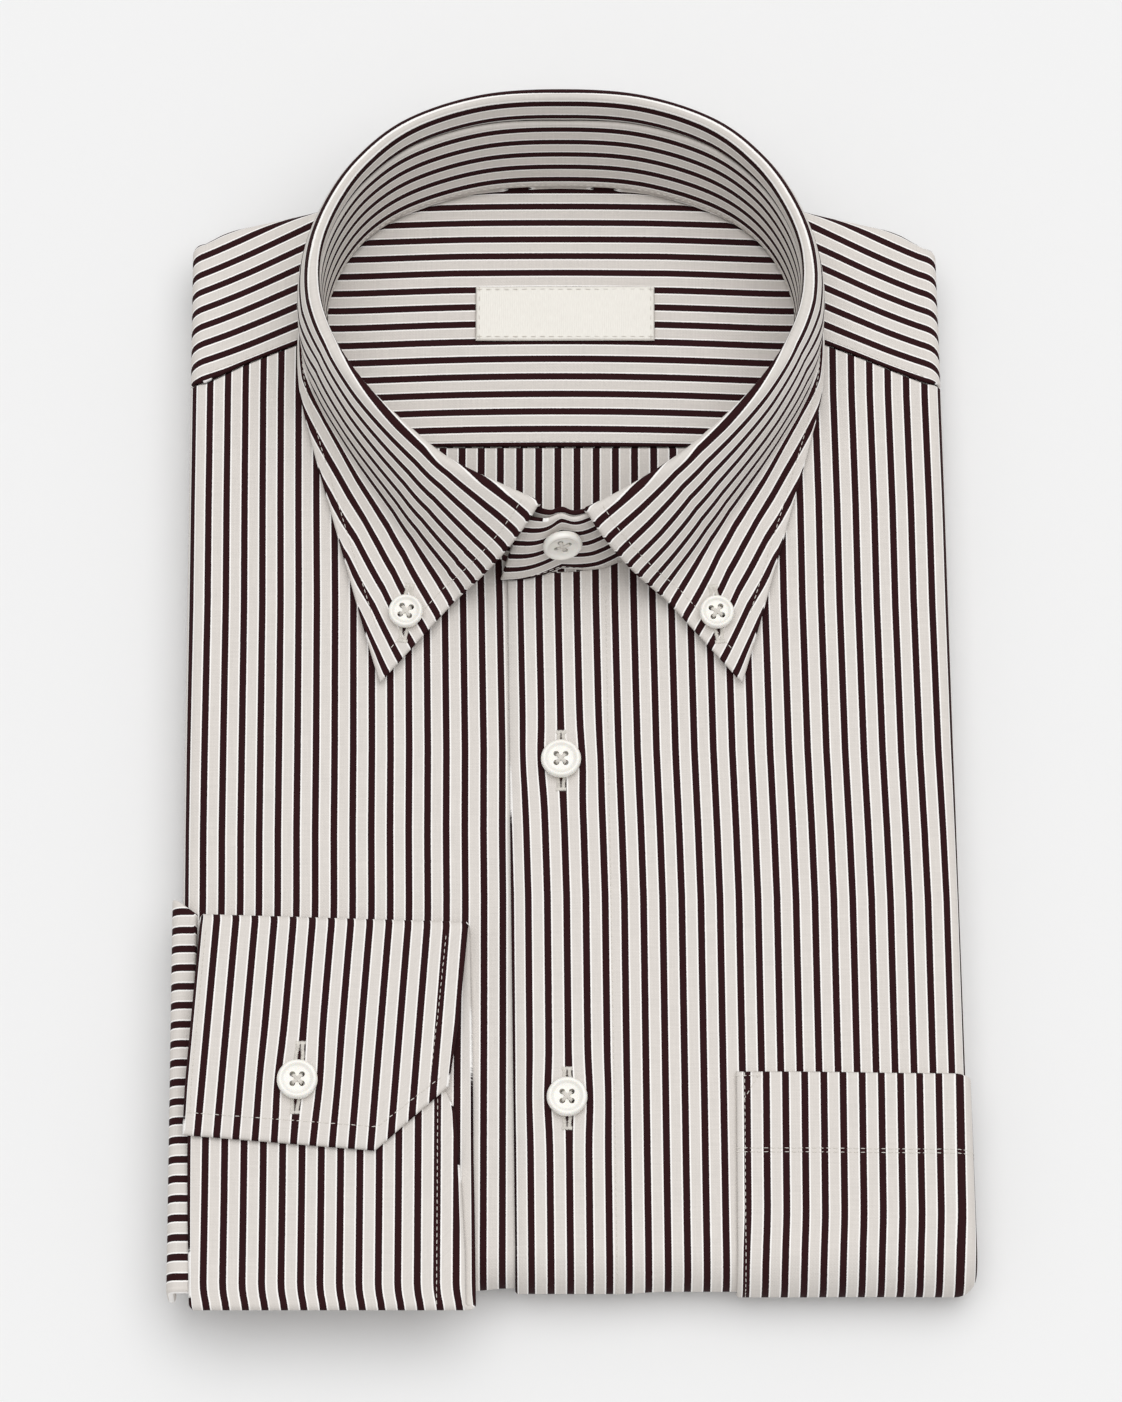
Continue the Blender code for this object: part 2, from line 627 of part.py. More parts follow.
def make_stand():
    last = FRONT_SECTION + STAND_OVERLAP
    count = 38
    grids = ([], [])
    for k in range(count + 1):
        t = mix(-last, last, k / count)
        foot, crest = stand_line(t)
        normal = stand_normal(t) * COLLAR_CLOTH / 2
        top = stand_top_share(t)
        for grid, sign in zip(grids, (1, -1), strict=True):
            row = [mix(foot, crest, share) + sign * normal for share in (0.0, top / 2, top)]
            row[0][2] = foot[2]
            grid.append(row)
    new_object("collar_band", *wall(*grids), STRIPED_COTTON)


def collar_place(name, t):
    return np.array([collar(f"{name}_{axis}", t) for axis in "xyz"])


def fall_section(t, steps):
    """Middle line of the fall at section t: up the inside, over the fold, down to the knee and out."""
    foot, crest = stand_line(t)
    normal = stand_normal(t)
    knee, edge = collar_place("knee", t), collar_place("edge", t)
    level = np.array((*(knee - crest)[:2], 0.0))
    level /= np.linalg.norm(level)
    square = np.array((normal[0], normal[1], 0.0))
    square /= np.linalg.norm(square)
    out = FOLD_SQUARE_SHARE * square + (1 - FOLD_SQUARE_SHARE) * level
    out /= np.linalg.norm(out)
    up = np.array((0.0, 0.0, 1.0))
    rising = (crest - foot) / np.linalg.norm(crest - foot)
    seam = mix(foot, crest, stand_top_share(t)) + rising * (GAP + 0.15)
    first = math.atan2(float(np.dot(rising, out)), -float(rising[2]))
    first += math.tau if first < 0 else 0.0
    centre = crest - FOLD_RADIUS * rising - FOLD_RADIUS * (math.cos(first) * out + math.sin(first) * up)
    drop = knee - centre - FOLD_RADIUS * out
    slope = math.atan2(-drop[2], max(0.0, float(np.dot(drop, out)))) - KNEE_SWELL
    last = math.pi / 2 - slope
    arc = [mix(first, last, s) for s in (0.0, 0.25, 0.5, 0.75, 1.0)]
    line = [seam] + [centre + FOLD_RADIUS * (math.cos(a) * out + math.sin(a) * up) for a in arc]
    start = line[-1]
    leaving = math.sin(last) * out - math.cos(last) * up
    swollen = start + leaving * KNEE_SWELL_REACH * np.linalg.norm(knee - start)
    controls = np.array((start, swollen, *(knee,) * KNEE_SHARPNESS, edge))
    degree = len(controls) - 1
    s = np.linspace(0.0, 1.0, 61)[:, None]
    curve = sum(
        math.comb(degree, k) * (1 - s) ** (degree - k) * s**k * controls[k] for k in range(degree + 1)
    )
    way = np.concatenate([[0.0], np.cumsum(np.linalg.norm(np.diff(curve, axis=0), axis=1))])
    places = np.linspace(0.0, way[-1], steps + 1)[1:]
    return line + list(np.column_stack([np.interp(places, way, curve[:, axis]) for axis in range(3)]))


def make_fall():
    count, steps = 36, 8
    end = FALL_END_SECTION
    sections = [fall_section(mix(-end, end, k / count), steps) for k in range(count + 1)]
    grid = np.array(sections)
    along = np.gradient(grid, axis=0)
    across = np.gradient(grid, axis=1)
    normals = np.cross(along, across)
    normals /= np.linalg.norm(normals, axis=2, keepdims=True)
    half = normals * COLLAR_CLOTH / 2
    new_object("collar_leaf", *wall((grid + half).tolist(), (grid - half).tolist()), STRIPED_COTTON)


# ---------------------------------------------------------------- pocket, sleeve and cuff


def make_pocket(left_places):
    """The pocket follows the left front's own places, moved out, as far round the folds as it goes."""
    first_row = next(i for i, row in enumerate(left_places) if row[0][1] == POCKET_TOP_Y)
    first_column = 1 + LEFT_FRONT_X.index(POCKET_LEFT_X)
    last_row = len(left_places) - len(UNDER_SHARES) - len(BEND_SHARES)
    last_row += sum(share <= POCKET_TURN for share in BEND_SHARES)
    last_column = 2 + len(LEFT_FRONT_X) + sum(share <= POCKET_TURN + 0.01 for share in FOLD_SHARES)
    places = [row[first_column:last_column] for row in left_places[first_row:last_row]]
    cloth("pocket", places, lambda u, v: left_depth(u, v) - LAYER)


def sleeve_line(y, side_y, out):
    """Section of the sleeve, `out` from its middle: flat beside the cuff, then sharply down the side."""
    radius = SLEEVE_THICKNESS / 2
    start = CUFF_LEFT_X - 0.5
    high = fold(start, side_y, -(GAP + radius))[2]
    side = side_x(-1, side_y) - GAP - radius
    centre = side + SLEEVE_TURN_RADIUS
    rows = (SLEEVE_ROWS_Y[-1], SLEEVE_ROWS_Y[0])
    low = np.interp(y, rows, (SLEEVE_END_LOW_Z, SLEEVE_LOW_Z))
    line = [(start, high + out), (mix(start, centre, 0.5), high + out)]
    turn = SLEEVE_TURN_RADIUS + out
    for a in np.linspace(0.0, math.pi / 2, 5):
        line.append((centre - turn * math.sin(a), high - SLEEVE_TURN_RADIUS + turn * math.cos(a)))
    line.append((side - out, low))
    slant = SLEEVE_SLANT * smooth((y - SLEEVE_TOP_Y) / SLEEVE_SLANT_LENGTH + 1)
    return [(x, y - slant * min(1.0, (x - side) / (start - side)), z) for x, z in line]


def make_sleeve():
    """A flattened tube of cloth round the left side fold, its own side folds rounded over."""
    radius = SLEEVE_THICKNESS / 2
    rounding = [(radius * (1 - math.cos(a)), radius * math.sin(a)) for a in (0.35, 0.85, math.pi / 2)]
    rows = [(SLEEVE_TOP_Y - inset, half) for inset, half in rounding]
    rows += [(y, radius) for y in SLEEVE_ROWS_Y]
    rows += [(SLEEVE_BOTTOM_Y + inset, half) for inset, half in rounding[::-1]]
    grids = [[sleeve_line(y, max(y, BEND_Y + 1.0), sign * half) for y, half in rows] for sign in (1, -1)]
    new_object("sleeve", *wall(*grids), STRIPED_COTTON)


def cuff_layer_z(layer, y):
    """Middle height of the cuff's back, lower front and flap, counted 0, 1, 2 from the shirt up."""
    base = top_z(-64.0, max(y, BEND_Y + 12.0)) + 0.3 + GAP
    return base + CUFF_CLOTH / 2 + layer * (CUFF_CLOTH + CUFF_GAP)


def flap_end_y(x):
    """The free edge of the flap, with its cut corner."""
    if x < CUFF_CUT_X:
        return mix(CUFF_FLAP_Y, CUFF_FLAP_CORNER_Y, (x - CUFF_LEFT_X) / (CUFF_CUT_X - CUFF_LEFT_X))
    return mix(CUFF_FLAP_CORNER_Y, CUFF_CUT_Y, (x - CUFF_CUT_X) / (CUFF_RIGHT_X - CUFF_CUT_X))


def half_turn(y, z_from, z_to, outward):
    """Middle line of a fold from one height to another, bulging out along y."""
    radius = (z_to - z_from) / 2
    return [
        (y + outward * abs(radius) * math.cos(a), (z_from + z_to) / 2 + radius * math.sin(a))
        for a in (-math.pi / 4, 0.0, math.pi / 4)
    ]


def cuff_line(x):
    """Middle line of the cuff in the plane of this x: flap, top fold, back, bottom fold, lower front."""
    share = (x - CUFF_LEFT_X) / (CUFF_RIGHT_X - CUFF_LEFT_X)
    top, bottom = CUFF_TOP_Y - 2.2 - CUFF_TOP_DROP * share, CUFF_BOTTOM_Y + 1.4
    z = [lambda y, k=k: cuff_layer_z(k, y) for k in range(3)]
    end = flap_end_y(x)
    line = [(mix(end, top, s), z[2](mix(end, top, s))) for s in (0.0, 0.25, 0.5, 0.75, 1.0)]
    line += half_turn(top, z[0](top), z[2](top), 1)[::-1]
    line += [(mix(top, bottom, s), z[0](mix(top, bottom, s))) for s in (0.0, 0.25, 0.5, 0.75, 1.0)]
    line += half_turn(bottom, z[0](bottom), z[1](bottom), -1)
    end = CUFF_UNDER_END_Y
    line += [(mix(bottom, end, s), z[1](mix(bottom, end, s))) for s in (0.0, 0.3, 0.65, 1.0)]
    return np.array(line)


def cuff_x(k, count, y, share):
    """Across the cuff at point k of its line: its front leans aside, and its back does less."""
    if k < CUFF_FLAP_POINTS:
        left = CUFF_LEFT_X + np.interp(y, CUFF_LEAN_Y, CUFF_FLAP_LEFT_LEAN)
        return mix(left, CUFF_RIGHT_X + np.interp(y, CUFF_LEAN_Y, CUFF_FLAP_RIGHT_LEAN), share)
    if k >= count - CUFF_LOWER_POINTS:
        left = CUFF_LEFT_X + np.interp(y, CUFF_LEAN_Y, CUFF_LOWER_LEFT_LEAN)
        return mix(left, np.interp(y, CUFF_UNDER_EDGE_Y, CUFF_UNDER_EDGE_X), share)
    return mix(CUFF_LEFT_X, CUFF_RIGHT_X + np.interp(y, CUFF_LEAN_Y, CUFF_BACK_RIGHT_LEAN), share)


def make_cuff():
    shares = (0.0, 0.22, 0.45, 0.7, 0.85, 1.0)
    grids = ([], [])
    for share in shares:
        line = cuff_line(mix(CUFF_LEFT_X, CUFF_RIGHT_X, share))
        xs = [cuff_x(k, len(line), y, share) for k, (y, _) in enumerate(line)]
        tangent = np.gradient(line, axis=0)
        tangent /= np.linalg.norm(tangent, axis=1, keepdims=True)
        normal = np.stack((-tangent[:, 1], tangent[:, 0]), axis=1) * CUFF_CLOTH / 2
        for grid, sign in zip(grids, (1, -1), strict=True):
            moved = line + sign * normal
            grid.append([(x, y, z) for x, (y, z) in zip(xs, moved, strict=True)])
    new_object("cuff", *wall(*grids), STRIPED_COTTON)


# ---------------------------------------------------------------- hidden layers


CORE_COLUMNS, CORE_ROWS = 12, 15
CORNER_STEPS = (0.25, 0.5, 0.75)
CAP_INSET = 16.0
BOTTOM_CORNER_INSET = 6.6
OPENING_MARGIN = 18.0
OPENING_DEPTH = 4.2


def core_place(i, j, inset=0.0):
    """A place of the pack's top in a grid of columns and rows, as far in from the folds as `inset`."""
    share = i / CORE_COLUMNS
    x = mix(roll_start_x(-1, 0.0) + inset, roll_start_x(1, 0.0) - inset, share)
    y = mix(BEND_Y + inset, roll_start_y(x) - inset, j / CORE_ROWS)
    inset += BOTTOM_CORNER_INSET if j == 0 else 0.0
    x = mix(roll_start_x(-1, y) + inset, roll_start_x(1, y) - inset, share)
    return x, y


def by_neck(x, y):
    return math.hypot(x / (69.0 + OPENING_MARGIN), (y - 100.0) / (62.0 + OPENING_MARGIN)) < 1.0


def core_depth(x, y):
    """The hidden layers lie deeper where the inside of the back comes between them and the outer cloth."""
    return OPENING_DEPTH if by_neck(x, y) else CORE_DEPTH


def border_places():
    """Round the grid's border: (i, j, outward, how much of a bottom, how much of a shoulder it is)."""
    up = [(CORE_COLUMNS, j, (1.0, 0.0), 0.0, 0.0) for j in range(CORE_ROWS + 1)]
    over = [(i, CORE_ROWS, (0.0, 1.0), 0.0, 1.0) for i in range(CORE_COLUMNS, -1, -1)]
    down = [(0, j, (-1.0, 0.0), 0.0, 0.0) for j in range(CORE_ROWS, -1, -1)]
    back = [(i, 0, (0.0, -1.0), 1.0, 0.0) for i in range(CORE_COLUMNS + 1)]
    found = []
    for run, following in zip((up, over, down, back), (over, down, back, up), strict=True):
        found += run
        i, j, a, low_a, top_a = run[-1]
        _, _, b, low_b, top_b = following[0]
        for s in CORNER_STEPS:
            angle = s * math.pi / 2
            outward = (
                math.cos(angle) * a[0] + math.sin(angle) * b[0],
                math.cos(angle) * a[1] + math.sin(angle) * b[1],
            )
            found.append((i, j, outward, mix(low_a, low_b, s), mix(top_a, top_b, s)))
    return found


def core_section(x, y, bottom, shoulder):
    """(outward, z) down the side of the hidden layers, for a place on the border of the pack's top."""
    z = top_z(x, y)
    radius = roll_radius(z)
    reach = radius - core_depth(x, y)
    split_top = BEND_RADIUS + SPLIT / 2 + CORE_DEPTH
    low_reach = radius - CORE_DEPTH_UNDER
    split_low = mix(BEND_RADIUS - SPLIT / 2 - CORE_DEPTH, BEND_RADIUS - SPLIT / 2, shoulder)
    tuck = -SIDE_TUCK - 0.8
    sides = [(reach * math.sin(a), z - radius + reach * math.cos(a)) for a in (0.0, 0.7, 1.4, 2.2)]
    sides += [(0.0, split_top)]
    sides += [(tuck, split_top), (tuck, split_low)]
    lower = []
    for a in (0.0, 0.5, 1.1, 1.57, 1.57, 2.1, 2.6, math.pi):
        middle = (split_low + CORE_DEPTH_UNDER) / 2
        lower.append((low_reach * math.sin(a) - 0.3, middle + (split_low - middle) * math.cos(a)))
    layered = []
    split_low_z = split_low * 0.5
    for layer, (high, low) in enumerate(((split_low, split_low_z + 0.25), (split_low_z - 0.25, 0.0))):
        half = (high - low) / 2
        start = radius - LAYER_SETBACKS[layer] - half
        for a in (0.0, 1.0, 2.1, math.pi):
            layered.append((start + half * math.sin(a), (high + low) / 2 + half * math.cos(a)))
    hem = -HEM_INSET
    sides += [tuple(mix(np.array(p), np.array(q), shoulder)) for p, q in zip(lower, layered, strict=True)]
    under = CORE_DEPTH_UNDER
    sides += [(mix(-3.0, hem, shoulder), mix(under, 0.0, shoulder))]
    sides += [(mix(-3.5, hem - 0.3, shoulder), under)]
    bend = BEND_RADIUS - CORE_DEPTH_UNDER
    single = [(bend * math.sin(a), BEND_RADIUS + bend * math.cos(a)) for a in (0.0, 0.35, 0.7, 1.0, 1.3)]
    single[0] = (0.0, z - CORE_DEPTH)
    single += [(bend, BEND_RADIUS + 0.3), (bend, BEND_RADIUS - 0.3)]
    turns = (1.8, 2.0, 2.2, 2.4, 2.6, 2.8, 3.0, math.pi)
    single += [(bend * math.sin(a), BEND_RADIUS + bend * math.cos(a)) for a in turns]
    single += [(-3.0, under), (-3.5, under)]
    return [tuple(mix(np.array(p), np.array(q), bottom)) for p, q in zip(sides, single, strict=True)]


def core_top_z(x, y):
    """The hidden layers stay under the outer cloth, and under the inner one where the neck is open."""
    if by_neck(x, y):
        return min(inner_z(x, y) - CLOTH - GAP - 0.4, top_z(x, y) - OPENING_DEPTH)
    return top_z(x, y) - CORE_DEPTH


def make_core():
    verts, faces = [], []
    border = border_places()
    rings = []
    for i, j, outward, bottom, shoulder in border:
        x, y = core_place(i, j)
        section = core_section(x, y, bottom, shoulder)
        ring = []
        for out, z in section:
            ring.append(len(verts))
            verts.append((x + outward[0] * out, y + outward[1] * out, z))
        rings.append(ring)
    for a, b in zip(rings, rings[1:] + rings[:1], strict=True):
        for k in range(len(a) - 1):
            faces.append([a[k], b[k], b[k + 1], a[k + 1]])
    for inset, end, height in ((0.0, 0, core_top_z), (CAP_INSET, -1, lambda x, y: CORE_DEPTH_UNDER)):
        grid = {}
        for i in range(CORE_COLUMNS + 1):
            for j in range(CORE_ROWS + 1):
                x, y = core_place(i, j, inset)
                grid[i, j] = len(verts)
                on_border = i in (0, CORE_COLUMNS) or j in (0, CORE_ROWS)
                z = top_z(x, y) - core_depth(x, y) if on_border and inset == 0 else height(x, y)
                verts.append((x, y, z))
        for i in range(CORE_COLUMNS):
            for j in range(CORE_ROWS):
                faces.append([grid[i, j], grid[i + 1, j], grid[i + 1, j + 1], grid[i, j + 1]])
        if inset:
            for (i, j, *_), (m, n, *_), a, b in zip(
                border, border[1:] + border[:1], rings, rings[1:] + rings[:1], strict=True
            ):
                faces.append([a[end], b[end], grid[m, n], grid[i, j]])
    new_object("folded_layers", verts, faces, COTTON_INSIDE)


# ---------------------------------------------------------------- buttons


def button_mesh(radius):
    """A turned disc with a raised rim and a dished middle."""
    t = BUTTON_THICKNESS
    profile = [(radius * r, t * z) for r, z in BUTTON_PROFILE]
    sides = BUTTON_SIDES
    verts, faces = [], []
    for r, z in profile:
        turns = [k * math.tau / sides for k in range(sides)]
        ring = [(r * math.cos(a), r * math.sin(a), z) for a in turns]
        verts += ring if r else [(0.0, 0.0, z)]
    last = len(verts) - 1
    ring_start = [1 + n * sides for n in range(len(profile) - 2)]
    for k in range(sides):
        m = (k + 1) % sides
        faces.append([0, ring_start[0] + m, ring_start[0] + k])
        for a, b in zip(ring_start, ring_start[1:]):
            faces.append([a + k, a + m, b + m, b + k])
        faces.append([ring_start[-1] + k, ring_start[-1] + m, last])
    return verts, faces


def hole_mesh():
    """Four pins that stand through a button, to cut its thread holes."""
    verts, faces = [], []
    sides = 6
    for n in range(4):
        angle = math.radians(45 + 90 * n)
        centre = THREAD_HOLE_SPREAD * math.sqrt(2)
        first = len(verts)
        for z in (-2.0, BUTTON_THICKNESS + 2.0):
            for k in range(sides):
                turn = k * math.tau / sides
                verts.append(
                    (
                        centre * math.cos(angle) + THREAD_HOLE_RADIUS * math.cos(turn),
                        centre * math.sin(angle) + THREAD_HOLE_RADIUS * math.sin(turn),
                        z,
                    )
                )
        faces.append([first + k for k in range(sides)][::-1])
        faces.append([first + sides + k for k in range(sides)])
        for k in range(sides):
            m = (k + 1) % sides
            faces.append([first + k, first + m, first + sides + m, first + sides + k])
    return verts, faces


def placed(verts, centre, normal, turn=0.0):
    """Points of a piece that stands on z = 0, moved so that it lies at `centre` facing along `normal`."""
    normal = np.array(normal) / np.linalg.norm(normal)
    across = np.cross((0.0, 1.0, 0.0), normal)
    across /= np.linalg.norm(across)
    along = np.cross(normal, across)
    c, s = math.cos(turn), math.sin(turn)
    found = []
    for x, y, z in verts:
        found.append(np.array(centre) + (c * x - s * y) * across + (s * x + c * y) * along + z * normal)
    return found


def make_button(name, radius, centre, normal, turn=0.0):
    verts, faces = button_mesh(radius)
    button = new_object(name, placed(verts, centre, normal, turn), faces, SHELL_BUTTON, 0.35)
    verts, faces = hole_mesh()
    pins = new_object(name + "_holes", placed(verts, centre, normal, turn), faces, SHELL_BUTTON)
    pins.hide_render = True
    pins.display_type = "WIRE"
    cut = button.modifiers.new("thread_holes", "BOOLEAN")
    cut.operation = "DIFFERENCE"
    cut.object = pins


def fall_point(x, y, side):
    """Height and normal of the fall's outside over a place near its point."""
    best = None
    for t in np.linspace(9.0, 11.0, 41):
        line = np.array(fall_section(side * t, 24)[6:])
        distance = np.hypot(line[:, 0] - x, line[:, 1] - y)
        k = int(distance.argmin())
        if best is None or distance[k] < best[0]:
            best = (distance[k], t, k)
    _, t, k = best
    here = np.array(fall_section(side * t, 24)[6:])
    beside = np.array(fall_section(side * (t - 0.2), 24)[6:])
    normal = np.cross(here[k + 1] - here[k - 1], beside[k] - here[k])
    normal /= np.linalg.norm(normal)
    return here[k], normal if normal[2] > 0 else -normal


def make_buttons():
    for n, (x, y) in enumerate(FRONT_BUTTONS, 1):
        z = outer_top(x, y) + GAP + 0.1
        make_button(f"button_front_{n}", BUTTON_RADIUS, (x, y, z), (0.0, 0.0, 1.0))
    for side, name in ((1, "button_collar_left"), (-1, "button_collar_right")):
        point, normal = fall_point(side * COLLAR_BUTTON[0], COLLAR_BUTTON[1], side)
        centre = point + normal * (COLLAR_CLOTH / 2 + GAP + 0.25)
        make_button(name, COLLAR_BUTTON_RADIUS, centre, normal, side * 0.2)
    x, y = CUFF_BUTTON
    z = cuff_layer_z(2, y) + CUFF_CLOTH / 2 + GAP + 0.1
    make_button("button_cuff", BUTTON_RADIUS, (x, y, z), (0.0, 0.0, 1.0))
    foot, crest = stand_line(FRONT_SECTION)
    normal = stand_normal(FRONT_SECTION)
    centre = mix(foot, crest, NECK_BUTTON_SHARE) + normal * (COLLAR_CLOTH / 2 + STAND_LAP_STEP / 2 + GAP)
    make_button("button_neck", BUTTON_RADIUS, centre, normal)


def main():
    for old in list(bpy.data.objects):
        bpy.data.objects.remove(old, do_unlink=True)
    make_core()
    left_places = make_fronts()
    make_yoke()
    make_inside()
    make_label()
    make_stand()
    make_fall()
    make_pocket(left_places)
    make_sleeve()
    make_cuff()
    make_buttons()


main()
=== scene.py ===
"""A folded button-down dress shirt in striped poplin: cloth, sewing and buttons, in a plain studio.

The file is laid out as a Blender add-on: one operator makes each piece, or group of like pieces, round the
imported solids, and one makes the stage. Run as a script, it makes them all in order.

Shapes are worked out in millimetres of the shirt's own plan: +X is to the right of someone who looks at
it, +Y runs to the collar, +Z is up. `fold` takes a place on the flat cloth, and how deep under the outside
it lies, to a point in space. `placed` turns points to metres of the model.
"""

import math

import bmesh
import bpy
import numpy as np
from bpy.props import FloatProperty, FloatVectorProperty, PointerProperty
from mathutils import Matrix
from numpy.linalg import norm


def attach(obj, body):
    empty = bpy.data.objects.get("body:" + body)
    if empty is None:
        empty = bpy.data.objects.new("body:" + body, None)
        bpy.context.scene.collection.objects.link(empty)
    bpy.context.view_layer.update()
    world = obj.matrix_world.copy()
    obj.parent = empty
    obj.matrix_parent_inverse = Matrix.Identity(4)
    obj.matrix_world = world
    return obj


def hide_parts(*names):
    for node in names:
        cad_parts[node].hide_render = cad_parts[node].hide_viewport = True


bl_info = {
    "name": "Folded dress shirt",
    "version": (1, 0, 0),
    "blender": (4, 5, 0),
    "location": "3D View > Sidebar > Shirt",
    "description": "Makes a folded button-down shirt, piece by piece, and a plain studio for it",
    "category": "Object",
}

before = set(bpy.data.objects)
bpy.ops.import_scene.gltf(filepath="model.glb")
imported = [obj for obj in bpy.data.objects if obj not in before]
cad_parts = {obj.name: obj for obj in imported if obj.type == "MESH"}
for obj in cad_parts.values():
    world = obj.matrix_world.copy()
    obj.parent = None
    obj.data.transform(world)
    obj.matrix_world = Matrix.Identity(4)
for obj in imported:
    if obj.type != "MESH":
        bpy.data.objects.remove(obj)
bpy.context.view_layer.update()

MM = 0.001

# Cloth
CLOTH = 1.2  # one ply of shirting with its turned edge
COLLAR_CLOTH = 1.4  # two plies and an interlining
GAP = 0.35  # air between two layers that lie on each other
LAYER = CLOTH + GAP
FINE = 1.6  # spacing of the points of visible cloth
CORE_DEPTH, CORE_DEPTH_UNDER = 2.0, 3.7  # how far the hidden layers stay inside the outer cloth

# The pack, in plan
SIDE_TOP_Y, SIDE_BOTTOM_Y = 127.0, -172.0
SIDE_TOP_X = {-1: -108.4, 1: 110.6}  # -1 is the left side, 1 the right
SIDE_BOTTOM_X = {-1: -107.2, 1: 115.0}
NECK_TOP_Y = 165.5  # the shoulder fold behind the collar
SHOULDER_X, SHOULDER_DROP = 75.0, 11.5
SHOULDER_ROUNDNESS, SHOULDER_SLOPE = 1.7, 0.21
CORNER_Y = 140.0  # where the side folds are taken for the shoulder corners
CORNER_X, CORNER_BEND = 94.0, 0.021
SHIFT = np.array((-3.0, -0.37, 0.0))  # puts the middle of the footprint on the origin

# The pack, in height
EDGE_Z = 19.6  # top of the cloth where a side fold starts
CROWN, CROWN_REACH, CROWN_MARGIN = 1.6, 45.0, 5.0
CORNER_DROP = 2.2
CORNER_DROP_X, CORNER_DROP_Y = (70.0, 38.0), (95.0, 50.0)  # where it starts, and over what length
NECK_RISE, NECK_REACH, NECK_RISE_FADE = 1.4, 30.0, 20.0
NECK_CENTRE_Y, NECK_HALF_WIDTH, NECK_HALF_LENGTH, NECK_MEAN_RADIUS = 100.0, 69.0, 61.0, 64.0
BEND_RADIUS = EDGE_Z / 2  # the bottom fold turns the whole thickness
BEND_Y = SIDE_BOTTOM_Y + BEND_RADIUS
BEND_LENGTH = math.pi * BEND_RADIUS
SPLIT = 1.2  # air between the upper and the lower half at the sides
SIDE_TUCK = 4.0
HEM_INSET, HEM_CLEAR = 12.0, 3.0
LAYER_SETBACKS = (2.6, 4.4)

# Front opening
PLACKET_X_TOP, PLACKET_X_BOTTOM = -15.6, -12.8
UNDERLAP_X_TOP, UNDERLAP_X_BOTTOM = 8.0, 15.0
UNDERLAP_BEND_Y, UNDERLAP_BEND_LENGTH = -30.0, 70.0
RAMP = 13.0
PLACKET_STITCH = 28.4  # from the placket's edge to its stitching

# Seams
SEAM_NECK_Y, SEAM_SIDE_Y, SEAM_CURVE = 113.0, 99.0, 0.15
SEAM_NECK_SECTION = 5.5  # of the collar
INNER_SEAM_Y = 80.0
BACK_END_Y = 52.0
INNER_DIP, INNER_DIP_Y, INNER_DIP_LENGTH = 2.4, 160.0, 75.0
INNER_AIR = 0.1  # over what lies inside the neck, beyond the usual gap

# Collar: one row a section of its right half, from the middle of the back to the middle of the front.
# stand: foot of the stand.  fold: crest of the fold.  knee: where the fall, which drops down beside the
# stand, turns out to lie on the shirt.  edge: free edge of the fall.
COLLAR_COLUMNS = (
    "stand_x", "stand_y", "fold_x", "fold_y", "fold_z",
    "knee_x", "knee_y", "knee_z", "edge_x", "edge_y", "edge_z",
)
COLLAR_ROWS = (
    (0.0, 161.0, 0.0, 175.4, 56.0, 0.0, 180.2, 20.0, 0.0, 181.0, 11.0),
    (22.0, 159.7, 23.0, 173.6, 56.0, 26.4, 176.8, 21.5, 28.0, 177.6, 12.5),
    (41.8, 154.0, 43.5, 166.3, 55.9, 50.5, 166.0, 24.5, 55.0, 166.5, 18.5),
    (55.0, 146.3, 57.5, 154.5, 55.8, 64.6, 149.0, 26.0, 70.5, 146.5, 23.6),
    (64.0, 135.0, 66.4, 140.9, 55.7, 71.3, 132.9, 26.0, 75.2, 128.0, 24.4),
    (68.8, 121.0, 71.2, 126.6, 55.5, 74.0, 117.9, 26.0, 76.8, 111.0, 25.0),
    (68.8, 106.0, 71.2, 111.8, 55.3, 73.7, 103.5, 25.8, 76.2, 95.0, 24.6),
    (64.0, 91.0, 66.8, 97.9, 55.0, 69.5, 89.3, 25.6, 72.4, 78.0, 24.2),
    (55.0, 76.5, 57.6, 83.8, 54.6, 62.1, 76.4, 25.5, 67.4, 59.5, 23.9),
    (43.0, 63.0, 45.2, 70.9, 54.0, 53.1, 62.2, 25.4, 62.2, 40.5, 23.8),
    (29.0, 50.5, 30.8, 59.5, 52.6, 43.1, 46.7, 25.2, 57.0, 21.5, 23.7),
    (14.0, 41.2, 6.4, 47.4, 49.7, 29.5, 30.0, 25.0, 52.0, 4.0, 23.6),
    (0.0, 38.9, 0.0, 47.4, 49.6, 29.5, 30.0, 25.0, 52.0, 4.0, 23.6),
)
FRONT_SECTION = len(COLLAR_ROWS) - 1
FALL_END_SECTION = FRONT_SECTION - 1
STAND_OVERLAP = 1.2
STAND_LAP_STEP = 2.2
STAND_AIR = 0.15  # what its edges keep free beyond the usual gap
STAND_LAP_SECTIONS, STAND_LAP_SHIFT = (11.2, 12.0, 13.2), (0.0, 1.5, -5.8)  # its foot lies askew
STAND_TOP_SECTIONS = (0.0, 3.0, 6.0, 9.0, 11.0, 12.0, 12.5, 13.0, 13.5)
STAND_TOP_BELOW_FOLD = (10.0, 8.5, 5.5, 5.0, 2.6, 2.2, 2.2, 3.4, 5.0)
FOLD_RADIUS = 1.35
FOLD_SQUARE_SHARE = 0.65  # how square to the stand the fold rolls over; the rest is straight to the knee
KNEE_SWELL = math.radians(20.0)  # how much less steeply than its chord the fall leaves the fold
KNEE_SWELL_REACH = 0.5  # for how much of the way down to the knee
KNEE_SHARPNESS = 4  # how closely the fall follows the corner at its knee
COLLAR_STITCH = 5.0  # from the fall's edges to its stitching

